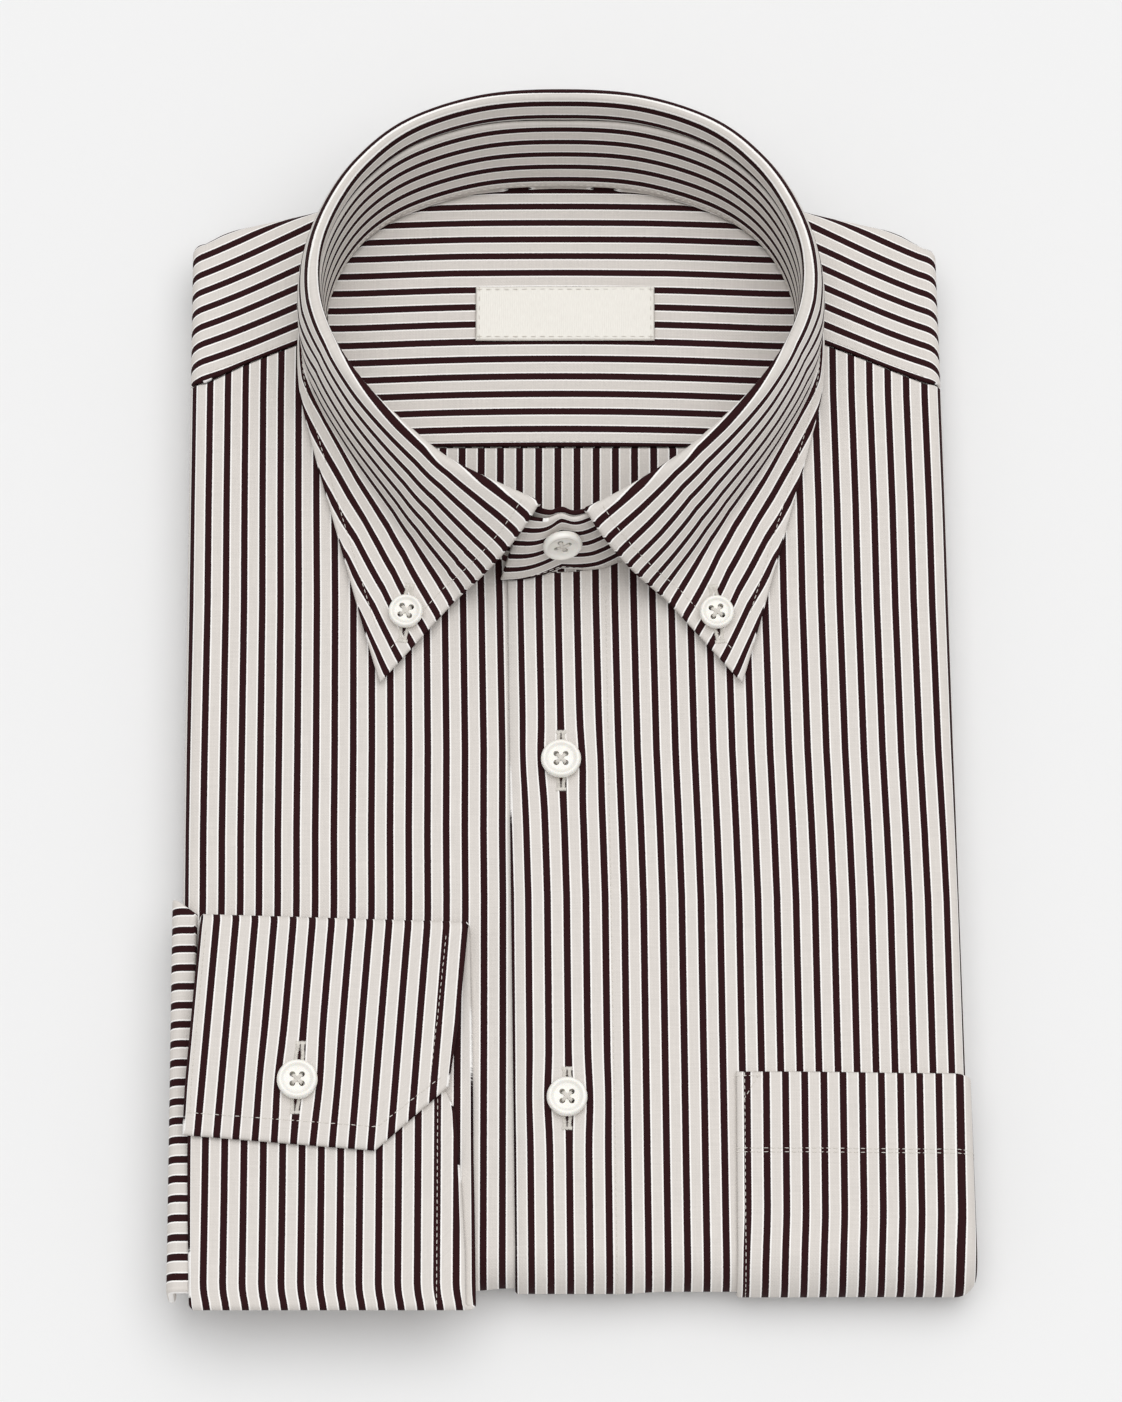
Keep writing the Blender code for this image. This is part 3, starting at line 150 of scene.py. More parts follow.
# Pocket
POCKET_LEFT_X, POCKET_TOP_Y = 49.2, -111.7
POCKET_TURN = 0.66
POCKET_HEM_Y = -135.2
POCKET_STITCH = 2.4  # from the pocket's edge to its stitching
POCKET_HEM_ROWS = 1.1  # between the two rows of stitches of its hem
POCKET_CORNER = ((0.4, -1.4), (6.2, -1.4), (2.4, -8.0))  # the stitches that hold its corner, from there

# Sleeve and cuff
SLEEVE_TOP_Y, SLEEVE_BOTTOM_Y = -60.5, -175.8
SLEEVE_THICKNESS = 2.4
SLEEVE_TURN_RADIUS = 1.8
SLEEVE_LOW_Z, SLEEVE_END_LOW_Z = 5.0, 10.5  # how far down the side it goes, at its top and its end
SLEEVE_SLANT, SLEEVE_SLANT_LENGTH = 4.5, 16.0  # how far its top slants down towards the cuff
SLEEVE_TURN_Y = (-88.0, -148.0)
SLEEVE_TUCK, SLEEVE_TUCK_Y, SLEEVE_TUCK_REACH = 0.5, -118.0, 2.2  # the small crease across it
CUFF_LEFT_X, CUFF_RIGHT_X = -102.6, -26.6
CUFF_TOP_Y, CUFF_BOTTOM_Y = -66.5, -180.6
CUFF_CLOTH, CUFF_GAP, CUFF_AIR = 1.5, 0.5, 0.3
CUFF_MIDDLE_X, CUFF_BEND_CLEAR = -64.0, 12.0  # it lies level, at the height of the shirt there
CUFF_FLAP_Y, CUFF_FLAP_CORNER_Y = -131.5, -136.0
CUFF_CUT_X, CUFF_CUT_Y = -45.8, -117.5
CUFF_UNDER_END_Y = -106.0
CUFF_TOP_DROP = 2.4  # how much lower its top is at the right
CUFF_TOP_TURN, CUFF_BOTTOM_TURN = 2.2, 1.4  # how far in from its ends it starts to turn
CUFF_LEAN_Y = (-180.6, -152.6, -135.5, -116.5, -98.3, -70.0, -66.5)
CUFF_FLAP_LEFT_LEAN = (-3.5, -3.5, -3.5, -2.9, -1.6, 0.4, 1.0)  # how far its edges lean aside there
CUFF_FLAP_RIGHT_LEAN = (-7.0, -7.0, -7.0, -4.8, -2.1, 0.4, 0.5)
CUFF_LOWER_LEFT_LEAN = (-0.8, -1.7, -2.0, -2.0, -2.0, -2.0, -2.0)
CUFF_BACK_RIGHT_LEAN = (3.0, 2.5, 2.1, 1.9, 1.6, 0.9, 0.7)
CUFF_UNDER_EDGE_Y = (-180.6, -163.8, -145.0, -131.7, -124.1, -120.3, -117.4, -106.0)
CUFF_UNDER_EDGE_X = (-26.3, -26.6, -27.7, -28.9, -29.6, -31.0, -32.8, -36.0)  # right edge of the lower front
CUFF_STITCH = 6.6  # from the cuff's edge to its stitching

# Label
LABEL_LOW, LABEL_HIGH = (-25.0, 112.8), (27.4, 129.8)
LABEL_CLOTH = 1.0

# Buttons
BUTTON_RADIUS, COLLAR_BUTTON_RADIUS = 5.75, 5.0
BUTTON_THICKNESS = 2.5
THREAD_HOLE_RADIUS, THREAD_HOLE_SPREAD = 0.82, 1.35
FRONT_BUTTONS = ((0.0, -19.1), (1.7, -119.7))
COLLAR_BUTTON = (45.0, 25.2)
COLLAR_BUTTON_TURN, COLLAR_BUTTONHOLE_TURN = 0.2, 0.12
BUTTON_AIR, COLLAR_BUTTON_AIR = 0.1, 0.25  # under a button, beyond the usual gap
CUFF_BUTTON = (-73.9, -116.0)
NECK_BUTTON_SHARE = 0.53

# Stripes
PITCH = 5.4  # from one stripe to the next, across the cloth

# Stage, in metres, and where its two lights come from
FLOOR_HALF, FLOOR_Z = 1.5, -0.0003
OVERHEAD_FROM, BACK_FROM = (0.1, 0.1, 1.0), (0.25, 1.0, 0.6)

# Camera
LOOK_AT = (-3.0, -0.37, 20.0)
CAMERA_ELEVATION = math.radians(70.0)
CAMERA_DISTANCE = 2000.0
CAMERA_LENS = 178.9


def smooth(x):
    """0 below 0, 1 above 1, and a soft step between."""
    x = np.clip(x, 0.0, 1.0)
    return x * x * (3 - 2 * x)


def evenly(count):
    """Shares from 0 to 1."""
    return np.linspace(0.0, 1.0, count)


def mix(a, b, share):
    return a + (b - a) * share


def unit(vector):
    """A vector of the same direction, 1 long."""
    return vector / norm(vector)


def linear(hex_colour):
    """The linear colour of an sRGB hex value such as "d9d5ce"."""
    parts = [int(hex_colour[k : k + 2], 16) / 255 for k in (0, 2, 4)]
    return tuple(c / 12.92 if c <= 0.04045 else ((c + 0.055) / 1.055) ** 2.4 for c in parts)


# ---- the pack


def side_x(side, y):
    """The outermost x of the pack at this y."""
    return mix(SIDE_BOTTOM_X[side], SIDE_TOP_X[side], (y - SIDE_BOTTOM_Y) / (SIDE_TOP_Y - SIDE_BOTTOM_Y))


def shoulder_y(x):
    """The outermost y of the shoulder fold at this x."""
    x = np.abs(x)
    near = NECK_TOP_Y - SHOULDER_DROP * np.minimum(x / SHOULDER_X, 1.0) ** SHOULDER_ROUNDNESS
    sloped = near - SHOULDER_SLOPE * np.maximum(0.0, x - SHOULDER_X)
    return sloped - CORNER_BEND * np.maximum(0.0, x - CORNER_X) ** 2


def edge_z(x, y):
    """Height of the cloth where a fold starts: lower at the shoulder corners."""
    (start_x, run_x), (start_y, run_y) = CORNER_DROP_X, CORNER_DROP_Y
    return EDGE_Z - CORNER_DROP * smooth((np.abs(x) - start_x) / run_x) * smooth((y - start_y) / run_y)


def neck_distance(x, y):
    """Roughly how far a point is from the neckline, in plan."""
    share = np.hypot(x / NECK_HALF_WIDTH, (y - NECK_CENTRE_Y) / NECK_HALF_LENGTH)
    return np.abs(share - 1.0) * NECK_MEAN_RADIUS


def top_z(x, y):
    """Height of the outside of the cloth on top of the pack."""
    across = np.minimum(x - side_x(-1, y), side_x(1, y) - x) - CROWN_MARGIN
    along = np.minimum(y - SIDE_BOTTOM_Y - BEND_RADIUS, shoulder_y(x) - y - CROWN_MARGIN)
    crown = CROWN * smooth(across / CROWN_REACH) * smooth(along / CROWN_REACH)
    rise = NECK_RISE * smooth(1 - neck_distance(x, y) / NECK_REACH)
    return edge_z(x, y) + crown + rise * smooth(across / NECK_RISE_FADE)


def roll_radius(z):
    """A fold whose top is at z turns down to the split between the two halves."""
    return (z - BEND_RADIUS - SPLIT / 2) / 2


def roll_start_x(side, y):
    return side_x(side, y) - side * roll_radius(edge_z(side_x(side, y), y))


def roll_start_y(x):
    """Where the shoulder fold starts."""
    y = shoulder_y(x)
    return y - roll_radius(edge_z(x, y))


def corner_start_y(side):
    """Where the shoulder fold starts at its corner with a side fold."""
    return roll_start_y(roll_start_x(side, CORNER_Y))


def bend_turn(v):
    """How far round the bottom fold a place of the flat cloth is, from 0 to half a turn."""
    return np.clip(BEND_Y - v, 0.0, BEND_LENGTH) / BEND_RADIUS


def side_radius(side, y, under):
    """Radius of a side fold; the lower half of the pack lies flat, so that its folds keep one size."""
    return roll_radius(np.where(under, EDGE_Z, edge_z(side_x(side, y), y)))


def past_side(side, share, y, under=False):
    """u of a place this share of the way round a side fold; past 1 it is the tuck behind it."""
    radius = side_radius(side, y, under)
    round_it = math.pi * radius * np.minimum(share, 1.0)
    return side_x(side, y) + side * (round_it - radius + SIDE_TUCK * np.maximum(share - 1.0, 0.0))


def fold(u, v, depth=0.0):
    """Points of the flat cloth in space, this deep under the outside."""
    u, v, depth = np.broadcast_arrays(u, v, depth)
    turn_down = bend_turn(v)
    under = np.maximum(BEND_Y - BEND_LENGTH - v, 0.0)
    below = under > 0
    y = np.where(below, BEND_Y + under, np.maximum(v, BEND_Y))
    x = np.array(u, dtype=float)
    height = np.where(turn_down == 0, top_z(x, y), EDGE_Z) - BEND_RADIUS - depth
    for side in (-1, 1):
        radius = side_radius(side, y, below)
        start = side_x(side, y) - side * radius
        over = side * (u - start)
        turn = np.clip(over / radius, 0.0, math.pi)
        reach = radius - depth
        x = np.where(over > 0, start + side * (reach * np.sin(turn) - (over - turn * radius)), x)
        height = np.where(over > 0, radius + SPLIT / 2 + reach * np.cos(turn), height)
    sine, cosine = np.sin(turn_down), np.cos(turn_down)
    y = np.where(below, y, y - height * sine)
    z = np.where(below, BEND_RADIUS - height, BEND_RADIUS + height * cosine)
    return np.stack((x, y, z), axis=-1)


# Soft creases of the cloth on top: where each runs in plan, its width, and how high it stands or dips.
CREASE_COLUMNS = ("x_from", "y_from", "x_to", "y_to", "width", "height")
CREASES = (
    (-70, 60, -48, -40, 9, 0.22),
    (-92, 20, -84, -50, 8, -0.16),
    (-40, 20, -30, -50, 7, -0.14),
    (-22, 28, -19, -60, 5, -0.16),
    (-20, -75, -18, -165, 5, -0.20),
    (30, 20, 36, -60, 9, -0.16),
    (60, 55, 50, -30, 10, 0.20),
    (88, 80, 94, -10, 9, 0.18),
    (76, -30, 70, -90, 9, -0.16),
    (98, -40, 100, -100, 7, 0.14),
    (24, -80, 32, -150, 8, 0.18),
    (2, -40, 3, -95, 7, 0.15),
    (-92, 118, -78, 138, 6, 0.20),
    (90, 112, 80, 140, 6, 0.20),
    (60, -150, 64, -168, 4, 0.22),
    (86, -146, 88, -170, 4, -0.22),
    (20, -148, 18, -170, 4, -0.22),
    (36, -150, 37, -170, 3.5, 0.20),
)
WAVE_HEIGHT, WAVE_X, WAVE_Y, WAVE_SLANT = 0.08, 23.0, 61.0, 90.0  # the slow unevenness of pressed cloth
RELIEF_FADE = 20.0  # the relief fades out towards the bottom fold over this length


def relief(x, y):
    """How far the cloth on top stands out of its plain shape."""
    wave_across = np.sin(x / WAVE_X * 2.1 + np.sin(y / WAVE_Y))
    rise = WAVE_HEIGHT * wave_across * np.cos(y / WAVE_Y * 1.7 + x / WAVE_SLANT)
    for x_from, y_from, x_to, y_to, width, height in CREASES:
        run_x, run_y = x_to - x_from, y_to - y_from
        share = ((x - x_from) * run_x + (y - y_from) * run_y) / (run_x**2 + run_y**2)
        share = np.clip(share, 0.0, 1.0)
        away = np.hypot(x - x_from - share * run_x, y - y_from - share * run_y)
        rise = rise + height * np.exp(-((away / width) ** 2))
    return rise * smooth((y - BEND_Y + 30.0) / RELIEF_FADE + 0.4)


# ---- collar curves


def collar(column, t):
    """A column of the collar table at section t, on a smooth curve; minus t is the left half.

    Past the middle of the front it runs on along the other half.
    """
    index = COLLAR_COLUMNS.index(column)
    mirrored = -1 if column.endswith("_x") else 1
    sign = mirrored if t < 0 else 1
    t = abs(t)

    def value(k):
        if k < 0:
            return mirrored * COLLAR_ROWS[-k][index]
        if k > FRONT_SECTION:
            return mirrored * COLLAR_ROWS[2 * FRONT_SECTION - k][index]
        return COLLAR_ROWS[k][index]

    k = int(t)
    s = t - k
    a, b, c, d = value(k - 1), value(k), value(k + 1), value(k + 2)
    curve = b + 0.5 * s * (c - a + s * (2 * a - 5 * b + 4 * c - d + s * (3 * (b - c) + d - a)))
    return sign * curve


def stand_foot(t):
    """Foot of the stand in plan."""
    return np.array((collar("stand_x", t), collar("stand_y", t)))


def stand_outward(t):
    """Outward in plan, square to the foot of the stand."""
    along = stand_foot(t + 0.05) - stand_foot(t - 0.05)
    return np.array((along[1], -along[0])) / -norm(along)


def fold_crest(t):
    """Top of the stand's middle surface: it lies in from the crest, as the fold rolls outward from it."""
    x, y = np.array((collar("fold_x", t), collar("fold_y", t))) - stand_outward(t) * FOLD_RADIUS
    return np.array((x, y, collar("fold_z", t)))


NECK_SAMPLES = np.array([stand_foot(k * FRONT_SECTION / 200) for k in range(201)])
NECK_WIDEST = int(NECK_SAMPLES[:, 0].argmax())


NECK_BACK, NECK_FRONT = NECK_SAMPLES[: NECK_WIDEST + 1], NECK_SAMPLES[NECK_WIDEST:][::-1]


def neckline_back_y(x):
    return np.interp(np.abs(x), *NECK_BACK.T)


def neckline_front_y(x):
    return np.interp(np.abs(x), *NECK_FRONT.T)


def seam_y(x):
    """The front yoke seam: a shallow slope from the neck to the side."""
    inner = collar("stand_x", SEAM_NECK_SECTION)
    share = np.clip((np.abs(x) - inner) / (roll_start_x(1, SEAM_SIDE_Y) - inner), 0.0, 1.0)
    return mix(SEAM_NECK_Y, SEAM_SIDE_Y, (1 - SEAM_CURVE) * share + SEAM_CURVE * share * share)


def placket_x(y):
    return mix(PLACKET_X_BOTTOM, PLACKET_X_TOP, (y - BEND_Y) / (40.0 - BEND_Y))


def underlap_x(y):
    return mix(UNDERLAP_X_BOTTOM, UNDERLAP_X_TOP, smooth((y - UNDERLAP_BEND_Y) / UNDERLAP_BEND_LENGTH))


def over_share(x):
    """1 where the left front lies on the right one, and 0 where it lies on the pack."""
    return 1 - smooth((x - UNDERLAP_X_BOTTOM - 1.5) / RAMP)


def under_share(x, y):
    return smooth((x - placket_x(y) + RAMP + 1.5) / RAMP)


def left_depth(u, v):
    """Over the right front the left one stands proud on top, and not on the flat underside."""
    return -LAYER * over_share(u) * (1 - smooth(bend_turn(v) / math.pi)) - relief(u, v)


def right_depth(u, v):
    return LAYER * under_share(u, np.maximum(v, BEND_Y)) * smooth(bend_turn(v) / math.pi) - relief(u, v)


def outer_top(x, y):
    """Height of the highest cloth at this place, the overlap of the fronts included."""
    lap = np.where((y < 75.0) & (x > placket_x(y) - 3.0), over_share(x), 0.0)
    return top_z(x, y) + LAYER * lap


def stand_line(t):
    """Foot and crest of the stand's middle surface, with its overlapping ends stepped apart."""
    over = smooth(abs(t) - FRONT_SECTION + STAND_OVERLAP + 1.0)
    step = stand_outward(t) * STAND_LAP_STEP / 2 * over * math.copysign(1.0, t)
    foot = stand_foot(t) + step + np.array((0.0, np.interp(t, STAND_LAP_SECTIONS, STAND_LAP_SHIFT)))
    crest = fold_crest(t) + np.array((*step, 0.0))
    low = outer_top(*foot) + GAP + STAND_AIR
    return np.array((*foot, low)), crest


def stand_normal(t):
    """Outward, square to the stand."""
    (a, _), (b, _) = stand_line(t - 0.05), stand_line(t + 0.05)
    foot, crest = stand_line(t)
    normal = unit(np.cross(b - a, crest - foot))
    return normal if np.dot(normal[:2], foot[:2] - np.array((0.0, NECK_CENTRE_Y))) > 0 else -normal


def stand_top_share(t):
    """Where the stand ends below the crest, as a share of the way from its foot."""
    foot, crest = stand_line(t)
    below = np.interp(abs(t), STAND_TOP_SECTIONS, STAND_TOP_BELOW_FOLD)
    return 1 - below / norm(crest - foot)


FOLD_STEPS = 11  # points round the collar's fold
INSIDE_SHARES = (0.0, 0.25, 0.5, 0.75)  # and up the inside to it
CURVE_POINTS = 61  # and down the curve over its knee, before they are spaced out evenly


def collar_place(name, t):
    return np.array([collar(f"{name}_{axis}", t) for axis in "xyz"])


def fall_section(t, steps):
    """Middle line of the fall at section t: up the inside, over the fold, down to the knee and out."""
    foot, crest = stand_line(t)
    normal = stand_normal(t)
    knee, edge = collar_place("knee", t), collar_place("edge", t)
    level = unit(np.array((*(knee - crest)[:2], 0.0)))
    square = unit(np.array((*normal[:2], 0.0)))
    out = unit(FOLD_SQUARE_SHARE * square + (1 - FOLD_SQUARE_SHARE) * level)
    up = np.array((0.0, 0.0, 1.0))
    rising = unit(crest - foot)
    seam = mix(foot, crest, stand_top_share(t)) + rising * (GAP + STAND_AIR)
    first = math.atan2(float(np.dot(rising, out)), -float(rising[2]))
    first += math.tau if first < 0 else 0.0
    centre = crest - FOLD_RADIUS * rising - FOLD_RADIUS * (math.cos(first) * out + math.sin(first) * up)
    drop = knee - centre - FOLD_RADIUS * out
    slope = math.atan2(-drop[2], max(0.0, float(np.dot(drop, out)))) - KNEE_SWELL
    last = math.pi / 2 - slope
    arc = np.linspace(first, last, FOLD_STEPS)
    turned = [centre + FOLD_RADIUS * (math.cos(a) * out + math.sin(a) * up) for a in arc]
    line = [mix(seam, turned[0], s) for s in INSIDE_SHARES] + turned
    start = line[-1]
    leaving = math.sin(last) * out - math.cos(last) * up
    swollen = start + leaving * KNEE_SWELL_REACH * norm(knee - start)
    controls = np.array((start, swollen, *(knee,) * KNEE_SHARPNESS, edge))
    degree = len(controls) - 1
    s = evenly(CURVE_POINTS)[:, None]
    curve = sum(
        math.comb(degree, k) * (1 - s) ** (degree - k) * s**k * controls[k] for k in range(degree + 1)
    )
    way = np.concatenate([[0.0], np.cumsum(norm(np.diff(curve, axis=0), axis=1))])
    places = np.linspace(0.0, way[-1], steps + 1)[1:]
    return line + list(np.column_stack([np.interp(places, way, curve[:, axis]) for axis in range(3)]))


# ---- stripes

# Height in plan, and the x there of the stripe down the button line and of the first one left of the placket.
STRIPE_Y = (-170.0, -100.0, -60.0, -40.0, -15.0, 30.0, 60.0, 95.0)
BUTTON_STRIPE_X = (2.7, 2.0, 1.6, 1.0, 0.05, -0.9, -1.2, -1.95)
RIGHT_STRIPE_X = (-16.4, -16.4, -16.5, -16.75, -16.8, -17.7, -18.6, -19.5)
LEFT_PITCH, LEFT_PITCH_LOSS = 5.47, 0.0035
RIGHT_PITCH, RIGHT_PITCH_TOP = 5.33, 5.18
# How many stripes a button draws the cloth aside, how far to its side that is most, and how far it reaches
BUTTON_PULL, CUFF_BUTTON_PULL, BUTTON_PULL_X = 0.17, 0.16, 4.0
BUTTON_PULL_REACH, CUFF_BUTTON_PULL_REACH = 9.0, 11.0


def button_pull(x, y, button, pull, reach_y):
    """How many stripes the cloth is drawn aside round a button."""
    away_x, away_y = x - button[0], y - button[1]
    near = np.exp(-((away_x / BUTTON_PULL_REACH) ** 2) - (away_y / reach_y) ** 2)
    return pull * np.tanh(away_x / BUTTON_PULL_X) * near


def left_front_stripes(x, y):
    """The left front's place across its stripes, counted in stripes from the button line."""
    away = x - np.interp(y, STRIPE_Y, BUTTON_STRIPE_X)
    count = away / LEFT_PITCH
    count = count + LEFT_PITCH_LOSS * count * np.abs(count) / LEFT_PITCH
    for button in FRONT_BUTTONS:
        count = count - button_pull(x, y, button, BUTTON_PULL, BUTTON_PULL_REACH)
    return count


def right_front_stripes(x, y):
    pitch = np.interp(y, (-15.0, 95.0), (RIGHT_PITCH, RIGHT_PITCH_TOP))
    return (x - np.interp(y, STRIPE_Y, RIGHT_STRIPE_X)) / pitch


YOKE_PITCH, YOKE_STRIPE_Y = 5.72, 112.3
YOKE_SLANT, YOKE_SLANT_X = 0.36, 86.9
YOKE_CORNER_BEND, YOKE_CORNER_X = 0.04, 108.0
YOKE_SPREAD, YOKE_SPREAD_Y = 0.075, 103.0
YOKE_SPREAD_X, YOKE_SPREAD_REACH = 105.0, 33.0  # where it begins, and how far in it is full


def yoke_stripes(x, y):
    """On the shoulders the stripes rise to the neck, spread there, and bend down at the side fold."""
    aside = np.abs(x)
    bend = YOKE_CORNER_BEND * np.maximum(aside - YOKE_CORNER_X, 0.0) ** 2
    down = YOKE_SLANT * (aside - YOKE_SLANT_X) + bend
    near_neck = np.clip((YOKE_SPREAD_X - aside) / YOKE_SPREAD_REACH, 0.0, 1.0)
    spread = YOKE_SPREAD * (y - YOKE_SPREAD_Y) * near_neck
    return (y - spread + down - YOKE_STRIPE_Y) / YOKE_PITCH


INNER_YOKE_PITCH, INNER_YOKE_STRIPE_Y = 5.485, 80.1
INNER_SINK, INNER_SINK_Y, INNER_SINK_REACH = 1.15, 112.0, 38.0
INNER_BOW, INNER_BOW_X = 1.5, 60.0
BACK_PITCH, BACK_STRIPE_X = 5.58, -0.9


def inner_yoke_stripes(x, y):
    """The cloth sinks a little towards the collar, so the stripes close up there."""
    sunk = INNER_SINK * np.clip((y - INNER_SINK_Y) / INNER_SINK_REACH, 0.0, 1.3) ** 2
    return (y + sunk + INNER_BOW * (x / INNER_BOW_X) ** 2 - INNER_YOKE_STRIPE_Y) / INNER_YOKE_PITCH


def back_stripes(x, y):
    return (x - BACK_STRIPE_X) / BACK_PITCH


POCKET_STRIPE_X = 52.3
POCKET_CURL, POCKET_CURL_START, POCKET_CURL_REACH = 0.6, 12.0, 20.0  # they lean in at the bottom fold


def pocket_stripes(x, y):
    curl = POCKET_CURL * smooth((BEND_Y + POCKET_CURL_START - y) / POCKET_CURL_REACH)
    return (x - POCKET_STRIPE_X + curl) / PITCH


FLAP_PITCH, FLAP_START_X = 5.42, -100.2
FLAP_LEAN, FLAP_LEAN_Y = 0.07, -109.9
LOWER_PITCH, LOWER_START_X = 5.41, -99.5
LOWER_CURL, LOWER_CURL_Y, LOWER_CURL_REACH = 2.0, -173.0, 10.0
CUFF_FLAP_END = 4.0  # where the flap ends in the places of the cuff's line


def flap_lean(y):
    return FLAP_LEAN * (y - FLAP_LEAN_Y)


def cuff_stripes(x, y, places):
    """On the flap the stripes lean with it; on the lower front they are upright and curl in at its fold."""
    flap = (x - flap_lean(y) - FLAP_START_X) / FLAP_PITCH
    flap = flap - button_pull(x, y, CUFF_BUTTON, CUFF_BUTTON_PULL, CUFF_BUTTON_PULL_REACH)
    curl = LOWER_CURL * np.clip((LOWER_CURL_Y - y) / LOWER_CURL_REACH, 0.0, 1.2) ** 2
    lower = (x - curl - LOWER_START_X) / LOWER_PITCH
    return mix(flap, lower, smooth((places - CUFF_FLAP_END) / 6.0))


SLEEVE_PITCH, SLEEVE_STRIPE_Y = 5.56, -64.4
SLEEVE_SPREAD, SLEEVE_SPREAD_Y = 0.017, -92.0


def sleeve_stripes(y):
    spread = SLEEVE_SPREAD * np.clip(SLEEVE_SPREAD_Y - y, 0.0, None)
    return (y - SLEEVE_STRIPE_Y + spread) / SLEEVE_PITCH


# ---- meshes


def placed(points):
    """Millimetres of the shirt's plan to metres of the model."""
    return (np.asarray(points, dtype=float) + SHIFT) * MM


def new_mesh_object(name, points, faces, material, edges=(), uv=None):
    """A smooth mesh object from points in millimetres, its doubles merged and its faces outward."""
    mesh = bpy.data.meshes.new(name)
    mesh.from_pydata(placed(points), edges, faces)
    if uv is not None:
        corners = np.empty(len(mesh.loops), dtype=np.int32)
        mesh.loops.foreach_get("vertex_index", corners)
        layer = mesh.uv_layers.new(name="cloth")
        layer.uv.foreach_set("vector", np.asarray(uv, dtype=np.float32)[corners].ravel())
    if len(faces):
        bm = bmesh.new()
        bm.from_mesh(mesh)
        bmesh.ops.remove_doubles(bm, verts=bm.verts, dist=0.00001)
        bmesh.ops.dissolve_degenerate(bm, edges=bm.edges, dist=0.00001)
        bmesh.ops.recalc_face_normals(bm, faces=bm.faces)
        bm.to_mesh(mesh)
        bm.free()
        mesh.shade_smooth()
    obj = bpy.data.objects.new(name, mesh)
    bpy.context.scene.collection.objects.link(obj)
    if material:
        mesh.materials.append(material)
    return obj


def apply_modifiers(obj):
    """Gives an object the mesh that its modifiers make, in their place."""
    graph = bpy.context.evaluated_depsgraph_get()
    mesh = bpy.data.meshes.new_from_object(obj.evaluated_get(graph), depsgraph=graph)
    obj.modifiers.clear()
    obj.data = mesh


def border_of(rows, columns):
    """The border of a grid, once round, as two arrays of row and column numbers."""
    border = [(0, j) for j in range(columns)]
    border += [(i, columns - 1) for i in range(1, rows)]
    border += [(rows - 1, j) for j in range(columns - 2, -1, -1)]
    border += [(i, 0) for i in range(rows - 2, 0, -1)]
    return np.array(border).T


RIM_PULL = 0.45  # how round a cloth's edge is, as a share of its thickness
RIM_PULL_LIMIT = 0.6  # and at most this share of the way to the next point


def shell(node, outer, inner, stripes, along, finish="outer"):
    """The cloth of a node, between two grids of points, with a rounded rim.

    Its UV map counts stripes across, and stripe pitches along.
    """
    rows, columns = outer.shape[:2]
    i, j = border_of(rows, columns)
    next_i, next_j = np.clip(i, 1, rows - 2), np.clip(j, 1, columns - 2)
    rim = (outer[i, j] + inner[i, j]) / 2
    grids = []
    for grid in (outer.copy(), inner.copy()):
        inward = grid[next_i, next_j] - grid[i, j]
        length = np.maximum(norm(inward, axis=1, keepdims=True), 1e-6)
        thickness = norm(outer[i, j] - inner[i, j], axis=1, keepdims=True)
        grid[i, j] += inward / length * np.minimum(thickness * RIM_PULL, length * RIM_PULL_LIMIT)
        grids.append(grid)
    points = np.concatenate([grids[0].reshape(-1, 3), grids[1].reshape(-1, 3), rim])
    cells = np.arange(rows * columns).reshape(rows, columns)
    corners = (cells[:-1, :-1], cells[:-1, 1:], cells[1:, 1:], cells[1:, :-1])
    quads = np.stack(corners, axis=-1).reshape(-1, 4)
    back = rows * columns
    edge = cells[i, j]
    middle = 2 * back + np.arange(len(edge))
    next_edge, next_middle = np.roll(edge, -1), np.roll(middle, -1)
    faces = np.concatenate([
        quads,
        quads[:, ::-1] + back,
        np.stack((next_edge, edge, middle, next_middle), axis=-1),
        np.stack((next_middle, middle, edge + back, next_edge + back), axis=-1),
    ])
    uv = np.stack(np.broadcast_arrays(stripes, along / PITCH), axis=-1).reshape(-1, 2)
    uv = np.concatenate([uv, uv, uv[edge]])
    made = new_mesh_object(node + "_cloth", points, faces.tolist(), material_for(finish), uv=uv)
    return finish_piece(made, finish, node)


def cloth(node, u, v, depth, stripes):
    """A ply of cloth over a grid of places of the flat cloth; depth(u, v) is that of its outside."""
    outside = depth(u, v)
    return shell(node, fold(u, v, outside), fold(u, v, outside + CLOTH), stripes(u, v), v)


def normals_of(grid):
    """Unit normals of a grid of points, on the side of rows crossed with columns."""
    normals = np.cross(np.gradient(grid, axis=0), np.gradient(grid, axis=1))
    return normals / np.maximum(norm(normals, axis=2, keepdims=True), 1e-9)


def way_down(line):
    """How far along a line of points each one is, as a column."""
    return np.cumsum(norm(np.gradient(line, axis=0), axis=1))[:, None]


def steps_between(low, high, spacing=FINE):
    """Evenly spaced values from low to high, no further apart than `spacing`."""
    return np.linspace(low, high, max(2, math.ceil(abs(high - low) / spacing) + 1))


# ---- nodes and materials


def add_node(tree, kind, links=(), **settings):
    """Adds a node with its settings; `links` gives each input its value or the output that feeds it."""
    node = tree.nodes.new(kind)
    for name, value in settings.items():
        setattr(node, name, value)
    for socket, source in dict(links).items():
        if isinstance(source, bpy.types.NodeSocket):
            tree.links.new(source, node.inputs[socket])
        else:
            node.inputs[socket].default_value = source
    return node


def from_node(tree, kind, output, links=(), **settings):
    """This output of a new node."""
    return add_node(tree, kind, links, **settings).outputs[output]


def calculate(tree, operation, *values):
    return from_node(tree, "ShaderNodeMath", 0, dict(enumerate(values)), operation=operation)


def scaled(tree, vector, *scale):
    """A vector with each axis times its own scale."""
    return from_node(tree, "ShaderNodeVectorMath", 0, {0: vector, 1: scale}, operation="MULTIPLY")


